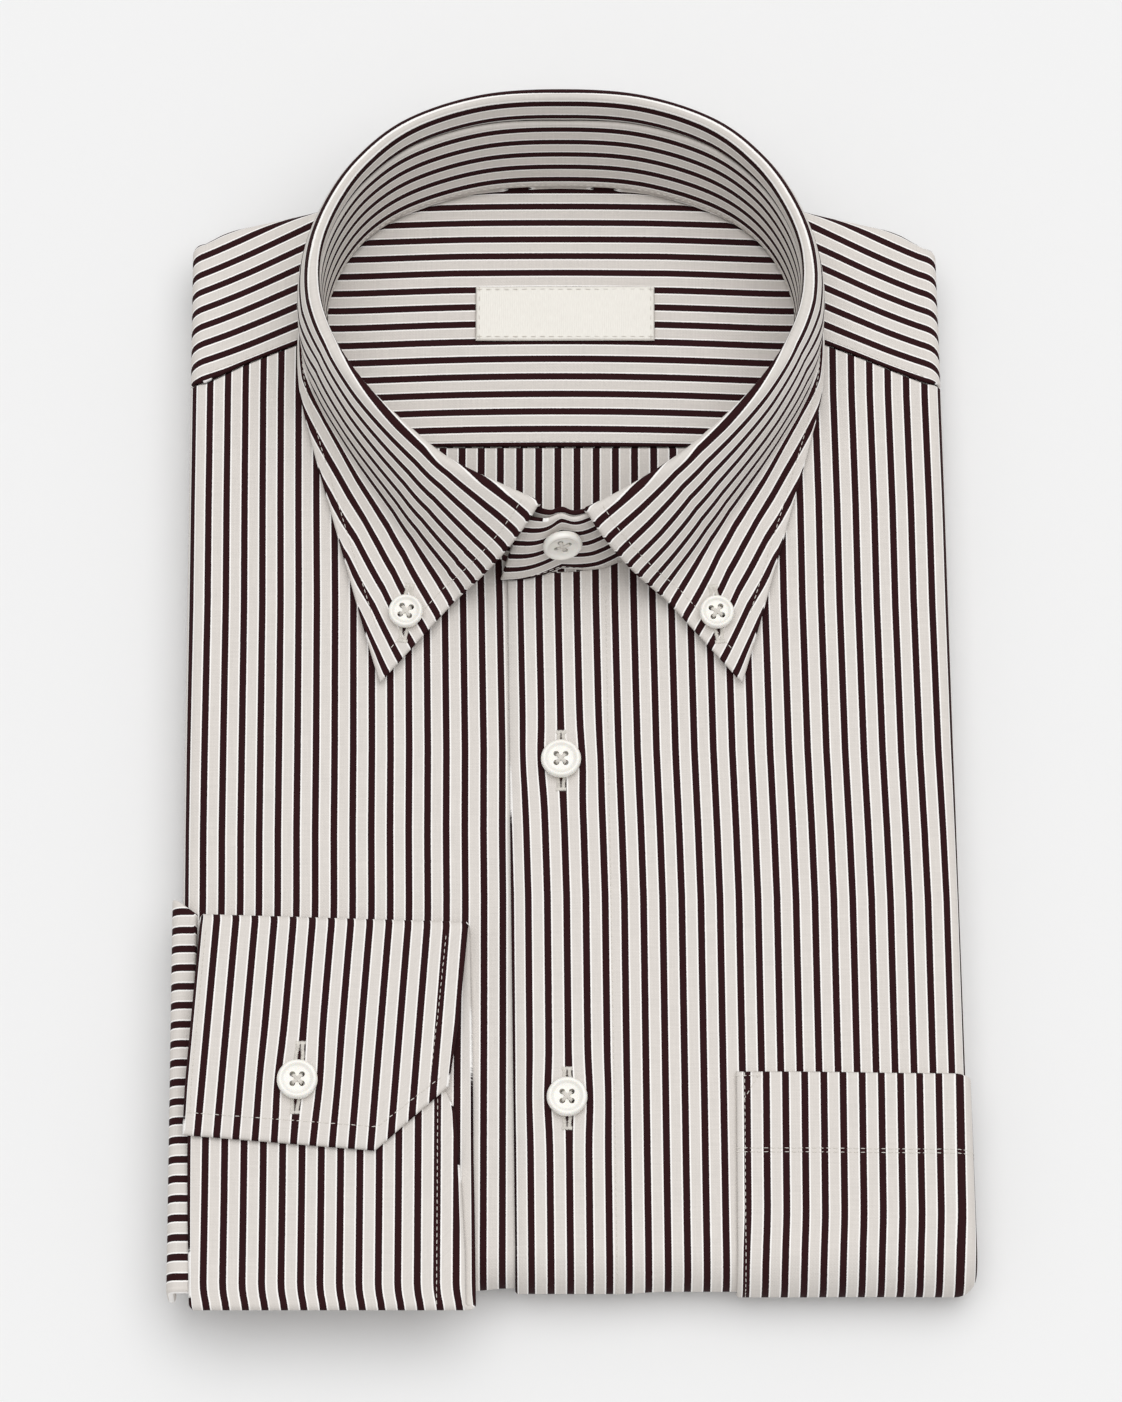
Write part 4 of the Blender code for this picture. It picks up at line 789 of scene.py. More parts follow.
def noise(tree, vector, scale, detail, **more):
    links = {"Vector": vector, "Scale": scale, "Detail": detail, **more}
    return from_node(tree, "ShaderNodeTexNoise", "Fac", links)


def bumped(tree, height, strength, distance):
    """The normals of a surface that has this height, with 1 drawn as `distance` metres."""
    links = {"Height": height, "Strength": strength, "Distance": distance}
    return from_node(tree, "ShaderNodeBump", "Normal", links)


def ramped(tree, factor, stops):
    """The colour at this factor of a ramp of (position, linear colour) stops."""
    node = add_node(tree, "ShaderNodeValToRGB", {"Fac": factor})
    elements = node.color_ramp.elements
    while len(elements) > 1:
        elements.remove(elements[-1])
    elements[0].position = stops[0][0]
    elements[0].color = (*stops[0][1], 1.0)
    for position, colour in stops[1:]:
        elements.new(position).color = (*colour, 1.0)
    return node.outputs["Color"]


def shades(base, darkest):
    """Stops of a ramp from a colour at its darkest, as a share of it, to the colour itself."""
    return [(0.3, tuple(darkest * c for c in base)), (0.7, tuple(base))]


def new_material(name):
    """A node material with only its output."""
    material = bpy.data.materials.new(name)
    material.use_nodes = True
    material.node_tree.nodes.clear()
    add_node(material.node_tree, "ShaderNodeOutputMaterial")
    return material, material.node_tree


def principled(material, values):
    """Gives a material its surface: a Principled shader with these values."""
    tree = material.node_tree
    surface = from_node(tree, "ShaderNodeBsdfPrincipled", "BSDF", values)
    tree.links.new(surface, tree.get_output_node("ALL").inputs["Surface"])
    return material


THREAD_SPACING = 0.45  # poplin has about 5 threads a mm; drawn coarser, so that the weave shows
SLUB_LENGTH = 9.0
FRAY = 0.035  # how far the weft pushes a stripe's border aside, in stripes
STRIPE_PHASE = 0.4825  # puts a dark stripe at each whole number, with the fray evened out
STRIPE_SOFTNESS = 0.012  # of the border between two colours of the cloth, in half pitches
# How far in from its border a dark stripe turns to its edge colour, and has it whole, in half pitches
EDGE_START, EDGE_FULL = 0.12, 0.05
# The cloth that lies inside, seen through the neck, is this poplin drawn a tenth darker: painted shade.
INSIDE_PAINTED_SHADE = 0.9


def cloth_millimetres(tree):
    """The cloth's UV map, in stripes, and the same in millimetres."""
    uv = from_node(tree, "ShaderNodeUVMap", "UV", uv_map="cloth")
    return uv, scaled(tree, uv, PITCH, PITCH, PITCH)


def make_poplin(name, shade):
    """Cotton poplin, woven from dyed yarn: a close plain weave, matt, with a faint sheen along the yarn."""
    settings = bpy.context.scene.shirt_cloth
    material, tree = new_material(name)
    uv, millimetres = cloth_millimetres(tree)
    yarn = scaled(tree, millimetres, 1 / THREAD_SPACING, 1 / SLUB_LENGTH, 1.0)
    slubs = noise(tree, yarn, 1.0, 2.0, Roughness=0.6)
    weft = scaled(tree, millimetres, 1 / SLUB_LENGTH, 1 / THREAD_SPACING, 1.0)
    weft_slubs = noise(tree, weft, 1.0, 2.0, Roughness=0.6)
    across = from_node(tree, "ShaderNodeSeparateXYZ", "X", {"Vector": uv})
    frayed = calculate(tree, "MULTIPLY_ADD", weft_slubs, FRAY, across)
    phase = calculate(tree, "FRACT", calculate(tree, "ADD", frayed, STRIPE_PHASE))
    aside = calculate(tree, "ABSOLUTE", calculate(tree, "SUBTRACT", phase, 0.5))
    half = settings.stripe_width / settings.stripe_pitch
    line = 2 * settings.line_width / settings.stripe_pitch
    soft = STRIPE_SOFTNESS
    striped = ramped(tree, calculate(tree, "MULTIPLY", aside, 2.0), [
        (0.0, settings.stripe_colour),
        (half - EDGE_START, settings.stripe_colour),
        (half - EDGE_FULL, settings.stripe_edge_colour),
        (half - soft, settings.stripe_edge_colour),
        (half + soft, settings.line_colour),
        (half + line, settings.line_colour),
        (half + line + 3 * soft, settings.ground_colour),
    ])
    both = calculate(tree, "ADD", slubs, weft_slubs)
    # `shade` scales the cloth's whole colour; below 1 it is painted shade, as for the cloth inside.
    links = {"Value": both, "From Min": 0.7, "From Max": 1.3, "To Min": 0.94 * shade, "To Max": 1.04 * shade}
    tone = from_node(tree, "ShaderNodeMapRange", "Result", links)
    links = {0: 1.0, 6: striped, 7: tone}
    colour = from_node(tree, "ShaderNodeMix", 2, links, data_type="RGBA", blend_type="MULTIPLY")
    threads = scaled(tree, millimetres, math.pi / THREAD_SPACING, math.pi / THREAD_SPACING, 1.0)
    axes = add_node(tree, "ShaderNodeSeparateXYZ", {"Vector": threads}).outputs
    weave = calculate(tree, "MULTIPLY", *[calculate(tree, "SINE", axes[axis]) for axis in "XY"])
    height = calculate(tree, "MULTIPLY_ADD", both, 1.2, weave)
    return principled(material, {
        "Base Color": colour,
        "Normal": bumped(tree, height, 0.35, 0.00006),
        "Roughness": 0.8,
        "IOR": 1.5,
        "Specular IOR Level": 0.08,
        "Sheen Weight": 0.01,
        "Sheen Roughness": 0.4,
    })


def make_label_tape(name):
    """Woven polyester tape: cream, in a close satin whose fine ribs run across it."""
    material, tree = new_material(name)
    _, millimetres = cloth_millimetres(tree)
    links = {"Vector": millimetres, "Scale": 0.5, "Distortion": 0.6, "Detail": 1.0}
    ribs = from_node(tree, "ShaderNodeTexWave", "Fac", links, bands_direction="X")
    yarn = noise(tree, scaled(tree, millimetres, 2.2, 0.3, 1.0), 1.6, 3.0)
    height = calculate(tree, "MULTIPLY_ADD", ribs, 0.5, yarn)
    return principled(material, {
        "Base Color": ramped(tree, yarn, [(0.25, linear("eeeae2")), (0.75, linear("f7f4ec"))]),
        "Normal": bumped(tree, height, 0.4, 0.00008),
        "Roughness": 0.5,
        "Specular IOR Level": 0.4,
        "Sheen Weight": 0.1,
    })


def make_sewing_thread(name):
    """Spun polyester sewing thread: off-white, dull, with a little unevenness from stitch to stitch."""
    material, tree = new_material(name)
    place = from_node(tree, "ShaderNodeTexCoord", "Object")
    stops = shades(bpy.context.scene.shirt_sewing.thread_colour, 0.88)
    return principled(material, {
        "Base Color": ramped(tree, noise(tree, place, 900.0, 2.0), stops),
        "Roughness": 0.65,
        "Specular IOR Level": 0.3,
        "Sheen Weight": 0.1,
    })


def make_button_resin(name):
    """Polyester resin with a shell look: turned and tumbled, ivory, glossy, with faint cloudy layers."""
    material, tree = new_material(name)
    place = from_node(tree, "ShaderNodeTexCoord", "Object")
    clouds = noise(tree, place, 320.0, 3.0, Distortion=0.8)
    wear = noise(tree, place, 2500.0, 2.0)
    links = {"Value": wear, "To Min": 0.18, "To Max": 0.3}
    return principled(material, {
        "Base Color": ramped(tree, clouds, shades(bpy.context.scene.shirt_buttons.colour, 0.93)),
        "Roughness": from_node(tree, "ShaderNodeMapRange", "Result", links),
        "IOR": 1.54,
        "Subsurface Weight": 0.15,
        "Subsurface Radius": (0.001, 0.0008, 0.0006),
        "Coat Weight": 0.3,
        "Coat Roughness": 0.1,
    })


def make_studio_paper():
    """Matt background paper: pale, smooth, with hardly any gloss."""
    material, tree = new_material("matt_background_paper")
    fibres = noise(tree, from_node(tree, "ShaderNodeTexCoord", "Object"), 400.0, 3.0)
    return principled(material, {
        "Base Color": (*bpy.context.scene.shirt_stage.floor_colour, 1.0),
        "Normal": bumped(tree, fibres, 0.05, 0.0001),
        "Roughness": 0.9,
        "Specular IOR Level": 0.1,
    })


# Finish: the name of its material, the record's slot that it takes, and what makes it.
MATERIALS = {
    "outer": ("striped_cotton_poplin", "striped_cotton", lambda name: make_poplin(name, 1.0)),
    # the inside finish: the same poplin drawn darker, as painted shade
    "inside": ("striped_cotton_poplin_inside", "cotton_inside", lambda name: make_poplin(name, INSIDE_PAINTED_SHADE)),
    "label": ("woven_label_tape", "woven_label", make_label_tape),
    "thread": ("spun_sewing_thread", "striped_cotton", make_sewing_thread),
    "button": ("polished_button_resin", "button", make_button_resin),
}


def material_for(finish):
    """The material of a finish, made when it is first asked for."""
    name, _, make = MATERIALS[finish]
    return bpy.data.materials.get(name) or make(name)


def finish_piece(obj, finish, *nodes):
    """Says what a piece rides on, and hides the solids that it stands for; its finish is not used."""
    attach(obj, "root")
    if nodes:
        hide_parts(*nodes)
    return obj


# ---- sewing

# What the stitches are given, with the kind of each.
STITCH_INPUTS = {
    "Path": "Geometry", "Spacing": "Float", "Length": "Float", "Width": "Float", "Turn": "Float",
    "Unevenness": "Float", "Seed": "Int", "Thread": "Material",
}


def stitch_tree():
    """Geometry Nodes that lay stitches along a mesh's edges, flat on what its `outward` points away from."""
    name = "stitches_along_a_path"
    if name in bpy.data.node_groups:
        return bpy.data.node_groups[name]
    tree = bpy.data.node_groups.new(name, "GeometryNodeTree")
    for label, kind in STITCH_INPUTS.items():
        tree.interface.new_socket(label, in_out="INPUT", socket_type="NodeSocket" + kind)
    tree.interface.new_socket("Stitches", in_out="OUTPUT", socket_type="NodeSocketGeometry")

    def made(kind, output, links=(), **settings):
        return from_node(tree, kind, output, links, **settings)

    given = add_node(tree, "NodeGroupInput").outputs
    curve = made("GeometryNodeMeshToCurve", "Curve", {"Mesh": given["Path"]})
    spaced = made(
        "GeometryNodeResampleCurve", "Curve", {"Curve": curve, "Length": given["Spacing"]}, mode="LENGTH"
    )
    outward = made(
        "GeometryNodeInputNamedAttribute", "Attribute", {"Name": "outward"}, data_type="FLOAT_VECTOR"
    )
    tangent = made("GeometryNodeInputTangent", "Tangent")
    upright = made("FunctionNodeAlignRotationToVector", "Rotation", {"Vector": outward}, axis="Z")
    links = {"Rotation": upright, "Vector": tangent}
    aligned = made("FunctionNodeAlignRotationToVector", "Rotation", links, axis="X", pivot_axis="Z")
    negative = calculate(tree, "MULTIPLY", given["Unevenness"], -1.0)
    links = {2: negative, 3: given["Unevenness"], "Seed": given["Seed"]}
    uneven = made("FunctionNodeRandomValue", 1, links, data_type="FLOAT")
    turn = calculate(tree, "ADD", given["Turn"], uneven)
    turn_axes = made("ShaderNodeCombineXYZ", "Vector", {"Z": turn})
    turning = made("FunctionNodeEulerToRotation", "Rotation", {"Euler": turn_axes})
    links = {"Rotation": aligned, "Rotate By": turning}
    rotation = made("FunctionNodeRotateRotation", "Rotation", links, rotation_space="LOCAL")
    grain = made("GeometryNodeMeshUVSphere", "Mesh", {"Segments": 6, "Rings": 5, "Radius": 0.5})
    rounded = made("GeometryNodeSetShadeSmooth", "Geometry", {"Geometry": grain})
    links = {"X": given["Length"], "Y": given["Width"], "Z": given["Width"]}
    size = made("ShaderNodeCombineXYZ", "Vector", links)
    links = {"Points": spaced, "Instance": rounded, "Rotation": rotation, "Scale": size}
    stitches = made("GeometryNodeInstanceOnPoints", "Instances", links)
    solid = made("GeometryNodeRealizeInstances", "Geometry", {"Geometry": stitches})
    links = {"Geometry": solid, "Material": given["Thread"]}
    coloured = made("GeometryNodeSetMaterial", "Geometry", links)
    add_node(tree, "NodeGroupOutput", {"Stitches": coloured})
    return tree


def sew(name, paths, spacing=None, length=None, width=None, turn=0.0, seed=1):
    """Stitches along paths, each a pair of arrays: points on the cloth, and outward directions there."""
    settings = bpy.context.scene.shirt_sewing
    values = {
        "Spacing": spacing or settings.stitch_spacing,
        "Length": length or settings.stitch_length,
        "Width": width or settings.thread_width,
        "Turn": turn,
        "Unevenness": settings.unevenness,
        "Seed": seed,
        "Thread": material_for("thread"),
    }
    edges, first = [], 0
    for points, _ in paths:
        edges += [(first + k, first + k + 1) for k in range(len(points) - 1)]
        first += len(points)
    obj = new_mesh_object(name, np.concatenate([path[0] for path in paths]), [], None, edges)
    outward = obj.data.attributes.new("outward", "FLOAT_VECTOR", "POINT")
    outward.data.foreach_set("vector", np.concatenate([path[1] for path in paths]).ravel())
    modifier = obj.modifiers.new("stitches", "NODES")
    modifier.node_group = stitch_tree()
    for item in modifier.node_group.interface.items_tree:
        if item.name in values:
            modifier[item.identifier] = values[item.name]
    apply_modifiers(obj)
    return finish_piece(obj, "thread")


THREAD_LIFT = 0.08  # how far the middle of a stitch lies above the cloth


def path_on_pack(u, v, depth, lift=THREAD_LIFT):
    """A path over the folded cloth: its points, and the outward directions there."""
    step = 0.05
    u, v = np.broadcast_arrays(np.asarray(u, dtype=float), v)
    here = fold(u, v, depth(u, v))
    beside = fold(u + step, v, depth(u + step, v)) - here
    above = fold(u, v + step, depth(u, v + step)) - here
    normal = np.cross(beside, above)
    normal /= norm(normal, axis=1, keepdims=True)
    return here + normal * lift, normal


def path_on_grid(grid, normals, i, j, lift=THREAD_LIFT):
    """A path over a grid of points, by fractions of its rows and columns."""
    i, j = np.broadcast_arrays(np.asarray(i, dtype=float), j)
    i0 = np.clip(i.astype(int), 0, grid.shape[0] - 2)
    j0 = np.clip(np.asarray(j).astype(int), 0, grid.shape[1] - 2)
    a, b = (i - i0)[:, None], (j - j0)[:, None]
    found = []
    for values in (grid, normals):
        low = mix(values[i0, j0], values[i0, j0 + 1], b)
        high = mix(values[i0 + 1, j0], values[i0 + 1, j0 + 1], b)
        found.append(mix(low, high, a))
    points, outward = found
    outward = outward / norm(outward, axis=1, keepdims=True)
    return points + outward * lift, outward


BUTTONHOLE_SPACING, BUTTONHOLE_BITE, BUTTONHOLE_THREAD = 0.00036, 0.00135, 0.0004  # in metres
BUTTONHOLE_LIP = 0.66  # from the slit to the middle of the stitches beside it
BUTTONHOLE_GAPE, GAPE_LENGTH = 0.3, 1.4  # how far the lips part under the button, and over what length
BUTTONHOLE_BAR, BAR_INSET = 1.3, 1.8  # half a bar, and from the slit's end to where the lips part
FRONT_BUTTONHOLE, COLLAR_BUTTONHOLE, CUFF_BUTTONHOLE = 17.4, 17.0, 20.3


def buttonhole_paths(length):
    """Two lips and two bars of a buttonhole that lies along y, as flat lines about its middle."""
    half = length / 2
    y = np.linspace(-half, half, 48)
    x = BUTTONHOLE_LIP + BUTTONHOLE_GAPE * np.clip((half - BAR_INSET - np.abs(y)) / GAPE_LENGTH, 0.0, 1.0)
    sides = [np.column_stack((side * x, y)) for side in (-1, 1)]
    bars = [[(x, y) for x in np.linspace(-BUTTONHOLE_BAR, BUTTONHOLE_BAR, 6)] for y in (-half, half)]
    return sides, bars


def sew_buttonhole(name, length, place, seed):
    """Dense stitches round a slit; `place` takes flat places about its middle to points and directions."""
    sides, bars = buttonhole_paths(length)
    lips = [place(np.array(line)) for line in sides]
    ends = [place(np.array(line)) for line in bars]
    return sew(name, lips + ends, BUTTONHOLE_SPACING, BUTTONHOLE_BITE, BUTTONHOLE_THREAD, math.pi / 2, seed)


# ---- fronts

STRAIGHT_Y = 15.0  # below this the columns of the fronts run straight down
NECK_COLUMNS = (10.65, 10.0, 9.0, 8.0, 7.0, 6.2)
SEAM_COLUMNS_X = (69.4, 80.0, 93.0)
LEFT_FRONT_X = (UNDERLAP_X_BOTTOM + 1.5, 28.5, 36.0, 42.5, POCKET_LEFT_X, 60.0, 71.0, 82.0, 94.0)
RIGHT_FRONT_X = (-8.0, -18.0, -28.0, -38.0, -48.0, -58.0, -68.0, -80.0, -93.0)
SEAM_COLUMN = len(NECK_COLUMNS) + 1
SIDE_COLUMN = len(LEFT_FRONT_X) + 1
COLUMN_PARTS = 7
TOP_ROWS, BEND_ROWS, UNDER_ROWS = 62, 19, 40  # down to STRAIGHT_Y, round the bottom fold, under the pack
PLACKET_DROP = 1.5  # how far its upper corner lies below the neckline
PLACKET_STITCH_TOP_Y, PLACKET_STITCH_TURN = 33.0, 0.8  # its stitching goes this far round the bottom fold
SIDE_SHARES = np.concatenate([evenly(14)[1:], (1.35, 1.7, 2.0)])


def front_top(side, first_x, drop, c):
    """The top of each column of a front, counted c from the opening: along the neckline, then the seam."""
    foot = np.array([stand_foot(side * t) for t in np.interp(c, np.arange(1, SEAM_COLUMN), NECK_COLUMNS)])
    last_foot = stand_foot(side * NECK_COLUMNS[-1])
    side_start = abs(roll_start_x(side, SEAM_SIDE_Y))
    seam_columns = np.arange(SEAM_COLUMN, SIDE_COLUMN + 1)
    seam_x = np.interp(c, seam_columns, (*SEAM_COLUMNS_X, side_start))
    seam = np.where(
        c > SIDE_COLUMN - 1,
        mix(seam_y(SEAM_COLUMNS_X[-1]), SEAM_SIDE_Y, c - SIDE_COLUMN + 1),
        seam_y(seam_x),
    ) - GAP / 2
    joining = np.clip(c - SEAM_COLUMN + 1, 0.0, 1.0)
    x = np.where(c < SEAM_COLUMN - 1, foot[:, 0], mix(last_foot[0], side * seam_x, joining))
    y = np.where(c < SEAM_COLUMN - 1, foot[:, 1], mix(last_foot[1], seam, joining))
    x = np.where(c < 1, mix(first_x, foot[:, 0], c), x)
    y = np.where(c < 1, neckline_front_y(x) - drop * (1 - c), y)
    return x, y


def front_grid(side, first_x, drop, bottoms, edge_x):
    """Places (u, v) of a front: down from its top, round the bottom fold, and back under the pack."""
    c = np.linspace(0, SIDE_COLUMN, SIDE_COLUMN * COLUMN_PARTS + 1)

    def low_x(y):
        inside = np.interp(c, np.arange(1, SIDE_COLUMN), bottoms)
        by_side = mix(bottoms[-1], roll_start_x(side, y), c - SIDE_COLUMN + 1)
        by_edge = mix(edge_x(y), bottoms[0], c)
        return np.where(c < 1, by_edge, np.where(c > SIDE_COLUMN - 1, by_side, inside))

    rows_u, rows_v = [], []

    def add_row(u, v, side_y, side_v, under=False):
        rows_u.append(np.concatenate([u, past_side(side, SIDE_SHARES, side_y, under)]))
        rows_v.append(np.concatenate([np.broadcast_to(v, u.shape), np.full(len(SIDE_SHARES), side_v)]))

    top_x, top_y = front_top(side, first_x, drop, c)
    start_y = SEAM_SIDE_Y - GAP / 2
    for share in evenly(TOP_ROWS)[:-1]:
        side_y = mix(start_y, STRAIGHT_Y, share)
        add_row(mix(top_x, low_x(STRAIGHT_Y), share), mix(top_y, STRAIGHT_Y, share), side_y, side_y)
    for y in steps_between(STRAIGHT_Y, BEND_Y):
        add_row(low_x(y), y, y, y)
    for turn in evenly(BEND_ROWS)[1:]:
        v = BEND_Y - BEND_LENGTH * turn
        add_row(low_x(BEND_Y), v, BEND_Y, v)
    x = low_x(BEND_Y)
    corner = corner_start_y(side) - HEM_INSET - HEM_CLEAR
    for share in evenly(UNDER_ROWS)[1:]:
        y = mix(BEND_Y, roll_start_y(x) - HEM_INSET - HEM_CLEAR, share)
        corner_y = mix(BEND_Y, corner, share)
        back = 2 * BEND_Y - BEND_LENGTH
        add_row(x, back - y, corner_y, back - corner_y, True)
    return np.array(rows_u), np.array(rows_v)


def make_fronts():
    u, v = front_grid(1, PLACKET_X_TOP, PLACKET_DROP, LEFT_FRONT_X, placket_x)
    left = cloth("front_left", u, v, left_depth, left_front_stripes)
    u, v = front_grid(-1, UNDERLAP_X_TOP, 0.0, RIGHT_FRONT_X, underlap_x)
    right = cloth("front_right", u, v, right_depth, right_front_stripes)
    down = steps_between(PLACKET_STITCH_TOP_Y, BEND_Y - PLACKET_STITCH_TURN * BEND_LENGTH)
    placket = sew("placket_stitches", [path_on_pack(placket_x(down) + PLACKET_STITCH, down, left_depth)])
    for n, (x, y) in enumerate(FRONT_BUTTONS, 1):

        def place(flat, x=x, y=y):
            return path_on_pack(flat[:, 0] + x, flat[:, 1] + y, left_depth)

        sew_buttonhole(f"buttonhole_front_{n}", FRONT_BUTTONHOLE, place, n)


# ---- yoke

YOKE_NECK_SECTIONS = (0.0, 0.75, 1.5, 2.25, 3.0, 3.7, 4.4, 5.1)
YOKE_TOP_X = (0.0, 16.0, 31.0, 45.0, 56.0, 66.0, 75.0, 84.0, 90.0, 96.0, 100.5)
YOKE_SEAM_COLUMN = len(YOKE_NECK_SECTIONS)
YOKE_LAST_COLUMN = len(YOKE_TOP_X) - 1
YOKE_ROWS, YOKE_COLUMN_PARTS = 30, 10
YOKE_STITCH = 1.8  # from its seam to the stitching
YOKE_STITCH_X, YOKE_STITCH_Y = (72.0, 107.0), 100.0


def yoke_point(x, y, side_share, top_share, depth):
    """Points of the yoke; the shares run round the side fold and the shoulder fold, and share a corner."""
    top = top_z(x, y) + relief(x, y)
    radius = roll_radius(top)
    share = np.maximum(side_share, top_share)
    over = math.pi * radius * np.minimum(share, 1.0) + SIDE_TUCK * np.maximum(share - 1.0, 0.0)
    largest = np.maximum(share, 1e-9)
    angle = np.where(
        side_share >= top_share,
        math.pi / 4 * top_share / largest,
        math.pi / 2 - math.pi / 4 * side_share / largest,
    )
    outward_x = np.where(side_share > 0, np.copysign(np.cos(angle), x), 0.0)
    outward_y = np.where(share > 0, np.sin(angle), 0.0)
    turn = np.minimum(over / radius, math.pi)
    reach = (radius - depth) * np.sin(turn) - (over - turn * radius)
    z = top - radius + (radius - depth) * np.cos(turn)
    flat = (x + outward_x * over, y + outward_y * over)
    return np.stack((x + outward_x * reach, y + outward_y * reach, z), axis=-1), flat


def yoke_half(side):
    """Places of half the yoke: rows from its inner edge to the shoulder fold and round it."""
    rows = evenly(YOKE_ROWS)[:, None]
    c = np.linspace(0, YOKE_LAST_COLUMN, YOKE_COLUMN_PARTS * YOKE_LAST_COLUMN + 1)
    sections = np.interp(c, np.arange(YOKE_SEAM_COLUMN), YOKE_NECK_SECTIONS)
    foot = np.array([stand_foot(t) for t in sections])
    seam_x = np.interp(c, np.arange(YOKE_SEAM_COLUMN, YOKE_LAST_COLUMN + 1), SEAM_COLUMNS_X)
    joining = np.clip(c - YOKE_SEAM_COLUMN + 1, 0.0, 1.0)
    start_x = mix(foot[:, 0], seam_x, joining)
    start_y = mix(foot[:, 1], seam_y(seam_x) + GAP / 2, joining)
    top_x = np.interp(c, np.arange(len(YOKE_TOP_X)), YOKE_TOP_X)
    x = side * mix(start_x, top_x, rows)
    y = mix(start_y, roll_start_y(top_x), rows)
    end_y = mix(SEAM_SIDE_Y + GAP / 2, corner_start_y(side), rows)
    end_x = roll_start_x(side, end_y)
    joined = evenly(9)[1:]
    side_share = np.concatenate([np.zeros(x.shape[1] + len(joined)), SIDE_SHARES])
    grids = [np.broadcast_to(side_share, (len(rows), len(side_share)))]
    for grid, end in ((y, end_y), (x, end_x)):
        folded = np.repeat(end, len(SIDE_SHARES), axis=1)
        grids.insert(0, np.hstack([grid, mix(grid[:, -1:], end, joined), folded]))
    x, y, side_share = (np.vstack([g, np.repeat(g[-1:], len(SIDE_SHARES), axis=0)]) for g in grids)
    top_share = np.concatenate([np.zeros(len(rows)), SIDE_SHARES])[:, None]
    return x, y, side_share, np.broadcast_to(top_share, x.shape)


def make_yoke():
    left, right = yoke_half(-1), yoke_half(1)
    places = [np.hstack([a[:, :0:-1], b]) for a, b in zip(left, right, strict=True)]
    outer, flat = yoke_point(*places, 0.0)
    inner, _ = yoke_point(*places, CLOTH)
    made = shell("yoke", outer, inner, yoke_stripes(*flat), np.abs(flat[0]))
    seams = []
    for side in (-1, 1):
        x = side * steps_between(*YOKE_STITCH_X)
        y = seam_y(x) + YOKE_STITCH
        inside = np.abs(x) < abs(roll_start_x(side, YOKE_STITCH_Y))
        seams.append(path_on_pack(x[inside], y[inside], lambda u, v: -relief(u, v)))
    stitches = sew("yoke_stitches", seams, seed=3)


# ---- inside the neck


def inner_z(x, y):
    """Height of the inside of the back, seen through the neck: it sinks towards the front."""
    dip = INNER_DIP * smooth((INNER_DIP_Y - y) / INNER_DIP_LENGTH)
    return np.minimum(top_z(x, y), top_z(x, neckline_back_y(x))) - LAYER - INNER_AIR - dip


def inner_shell(node, x, y, lift, thickness, stripes, finish):
    """A flat piece inside the neck, this far above the inside of the back."""
    outer = np.stack((x, y, inner_z(x, y) + lift), axis=-1)
    inner = outer - np.array((0.0, 0.0, thickness))
    along = x if stripes is inner_yoke_stripes else y
    return shell(node, outer, inner, stripes(x, y), along, finish)


def path_on_inside(x, y, lift):
    """A path over the inside of the back."""
    x, y = np.broadcast_arrays(np.asarray(x, dtype=float), y)
    points = np.stack((x, y, inner_z(x, y) + lift + THREAD_LIFT), axis=-1)
    return points, np.tile((0.0, 0.0, 1.0), (len(points), 1))


def make_inside():
    widest = NECK_SAMPLES[NECK_WIDEST][0]
    seam_half = float(np.interp(INNER_SEAM_Y, NECK_FRONT[:, 1], NECK_FRONT[:, 0]))
    turn = np.linspace(-math.pi / 2, math.pi / 2, 90)[:, None]
    x = widest * np.sin(turn) * 0.985
    low = np.where(np.abs(x) < seam_half, INNER_SEAM_Y + GAP / 2, neckline_front_y(x))
    share = evenly(46)
    y = mix(low, neckline_back_y(x) + 1.2, share)
    x = np.broadcast_to(x, y.shape)
    yoke = inner_shell("yoke_inside", x, y, 0.0, CLOTH, inner_yoke_stripes, "outer")
    seam = path_on_inside(steps_between(-seam_half + 3.0, seam_half - 3.0), INNER_SEAM_Y + 1.6, 0.0)
    stitches = sew("yoke_inside_stitches", [seam], seed=4)
    x = np.linspace(-1.0, 1.0, 70)[:, None] * (seam_half - 1.0)
    low = np.maximum(BACK_END_Y, neckline_front_y(x) - 2.0)
    y = mix(low, INNER_SEAM_Y - GAP / 2, evenly(18))
    back = inner_shell("back_inside", np.broadcast_to(x, y.shape), y, -0.1, CLOTH, back_stripes, "inside")


LABEL_STITCH_INSET, LABEL_STITCH_LIFT = 1.1, 0.08


def make_label():
    (x_low, y_low), (x_high, y_high) = LABEL_LOW, LABEL_HIGH
    across, along = steps_between(x_low, x_high, 1.0), steps_between(y_low, y_high, 1.0)
    x, y = np.meshgrid(across, along, indexing="ij")
    puff = 0.16 * np.sin(x / 4.1) * np.sin(y / 3.0) + 0.1 * np.sin(x / 9.0)
    made = inner_shell("label", x, y, LABEL_CLOTH + GAP + puff, LABEL_CLOTH, lambda x, y: x / PITCH, "label")
    x = steps_between(x_low + LABEL_STITCH_INSET, x_high - LABEL_STITCH_INSET, 1.0)
    y = steps_between(y_low + LABEL_STITCH_INSET, y_high - LABEL_STITCH_INSET, 1.0)
    top = LABEL_CLOTH + GAP + LABEL_STITCH_LIFT
    sides = [path_on_inside(x, y[0], top), path_on_inside(x, y[-1], top)]
    sides += [path_on_inside(x[0], y, top), path_on_inside(x[-1], y, top)]
    stitches = sew("label_stitches", sides, 0.0026, 0.0017, seed=5)


# ---- collar

BAND_SECTIONS, BAND_ROWS = 240, 16
BAND_PITCH, BAND_SLANT = 5.1, 0.027  # the upper end lies askew, in stripes a mm
BAND_LAP_SECTION, BAND_LAP_RUN = 9.5, 1.5  # where the upper end begins to lie askew
BAND_LAP_ROWS = 32  # rows at each end that have stitching on the outside too
FALL_SECTIONS, FALL_STEPS = 260, 34


